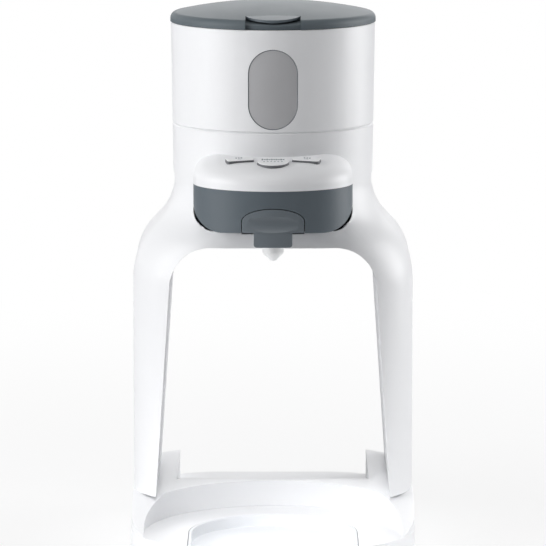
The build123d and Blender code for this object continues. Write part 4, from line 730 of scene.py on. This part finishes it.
# ---- floor, lamps and world
def paleFloor():
    material = bpy.data.materials.new("paleFloor")
    material.use_nodes = True
    tree = material.node_tree
    tree.nodes.clear()
    output = addNode(tree, "ShaderNodeOutputMaterial", (600, 0))
    matt = addNode(tree, "ShaderNodeBsdfDiffuse", (100, -80))
    matt.inputs["Color"].default_value = (0.93, 0.93, 0.935, 1)
    white = addNode(tree, "ShaderNodeEmission", (100, 80))
    white.inputs["Color"].default_value = (1, 1, 1, 1)
    where = addNode(tree, "ShaderNodeTexCoord", (-700, 0)).outputs["Object"]
    span = addNode(tree, "ShaderNodeVectorMath", (-520, 0), operation="LENGTH")
    tree.links.new(where, span.inputs[0])
    spread = addNode(tree, "ShaderNodeMapRange", (-340, 0), interpolation_type="SMOOTHSTEP")
    spread.inputs["From Min"].default_value = 0.15
    spread.inputs["From Max"].default_value = 0.9
    spread.inputs["To Min"].default_value = 0.8
    spread.inputs["To Max"].default_value = 1.0
    tree.links.new(span.outputs["Value"], spread.inputs["Value"])
    rays = addNode(tree, "ShaderNodeLightPath", (-340, 300))
    seen, through = rays.outputs["Is Camera Ray"], rays.outputs["Is Transmission Ray"]
    direct = addMath(tree, "MAXIMUM", seen, through, (-160, 300))
    share = addMath(tree, "MULTIPLY", direct, spread.outputs["Result"], (0, 260))
    mixed = addNode(tree, "ShaderNodeMixShader", (360, 0))
    tree.links.new(share, mixed.inputs[0])
    tree.links.new(matt.outputs[0], mixed.inputs[1])
    tree.links.new(white.outputs[0], mixed.inputs[2])
    tree.links.new(mixed.outputs[0], output.inputs["Surface"])
    return material


bm = bmesh.new()
bmesh.ops.create_grid(bm, x_segments=2, y_segments=2, size=14.0)
floorMesh = bpy.data.meshes.new("floor")
bm.to_mesh(floorMesh)
bm.free()
floorMesh.materials.append(paleFloor())
floor = bpy.data.objects.new("floor", floorMesh)
bpy.context.scene.collection.objects.link(floor)

lamps = {
    "keyLeft": {"place": (-1.78, -0.68, 0.75), "size": (1.5, 1.4), "power": 30.5, "aim": (0, 0, 0.22)},
    "fillRight": {"place": (1.81, 0.46, 0.6), "size": (1.3, 1.4), "power": 28.0, "aim": (0, 0, 0.22)},
    "topSoft": {"place": (-0.3, -0.5, 1.9), "size": (1.2, 1.0), "power": 6.5, "aim": (0, 0, 0.2)},
    "baseSpot": {
        "place": (0.0, -1.05, 0.95), "size": (0.14, 0.1), "power": 0.06, "aim": (0, -0.075, 0.02),
        "spread": 9,
    },
    "backSoft": {"place": (0.3, 1.8, 1.1), "size": (1.4, 1.0), "power": 7.0, "aim": (0, 0, 0.2)},
}
for lampName, lamp in lamps.items():
    data = bpy.data.lights.new(lampName, "AREA")
    data.shape = "RECTANGLE"
    data.size, data.size_y = lamp["size"]
    data.energy = lamp["power"]
    data.spread = math.radians(lamp.get("spread", 180))
    holder = bpy.data.objects.new(lampName, data)
    holder.location = lamp["place"]
    toward = Vector(lamp["aim"]) - Vector(lamp["place"])
    holder.rotation_euler = toward.to_track_quat("-Z", "Y").to_euler()
    bpy.context.scene.collection.objects.link(holder)

world = bpy.data.worlds.new("studio")
bpy.context.scene.world = world
world.use_nodes = True
sky = world.node_tree
sky.nodes.clear()
seen = addNode(sky, "ShaderNodeBackground", (0, 100))
seen.inputs["Color"].default_value = (1, 1, 1, 1)
around = addNode(sky, "ShaderNodeBackground", (0, -100))
around.inputs["Color"].default_value = (0.97, 0.98, 1, 1)
around.inputs["Strength"].default_value = 0.12
rays = addNode(sky, "ShaderNodeLightPath", (-500, 200))
visible = addMath(sky, "MAXIMUM", rays.outputs["Is Camera Ray"], rays.outputs["Is Glossy Ray"], (-300, 200))
visible = addMath(sky, "MAXIMUM", visible, rays.outputs["Is Transmission Ray"], (-150, 200))
blend = addNode(sky, "ShaderNodeMixShader", (250, 0))
skyOutput = addNode(sky, "ShaderNodeOutputWorld", (450, 0))
sky.links.new(visible, blend.inputs[0])
sky.links.new(around.outputs[0], blend.inputs[1])
sky.links.new(seen.outputs[0], blend.inputs[2])
sky.links.new(blend.outputs[0], skyOutput.inputs["Surface"])
print("floor, lamps and world set")
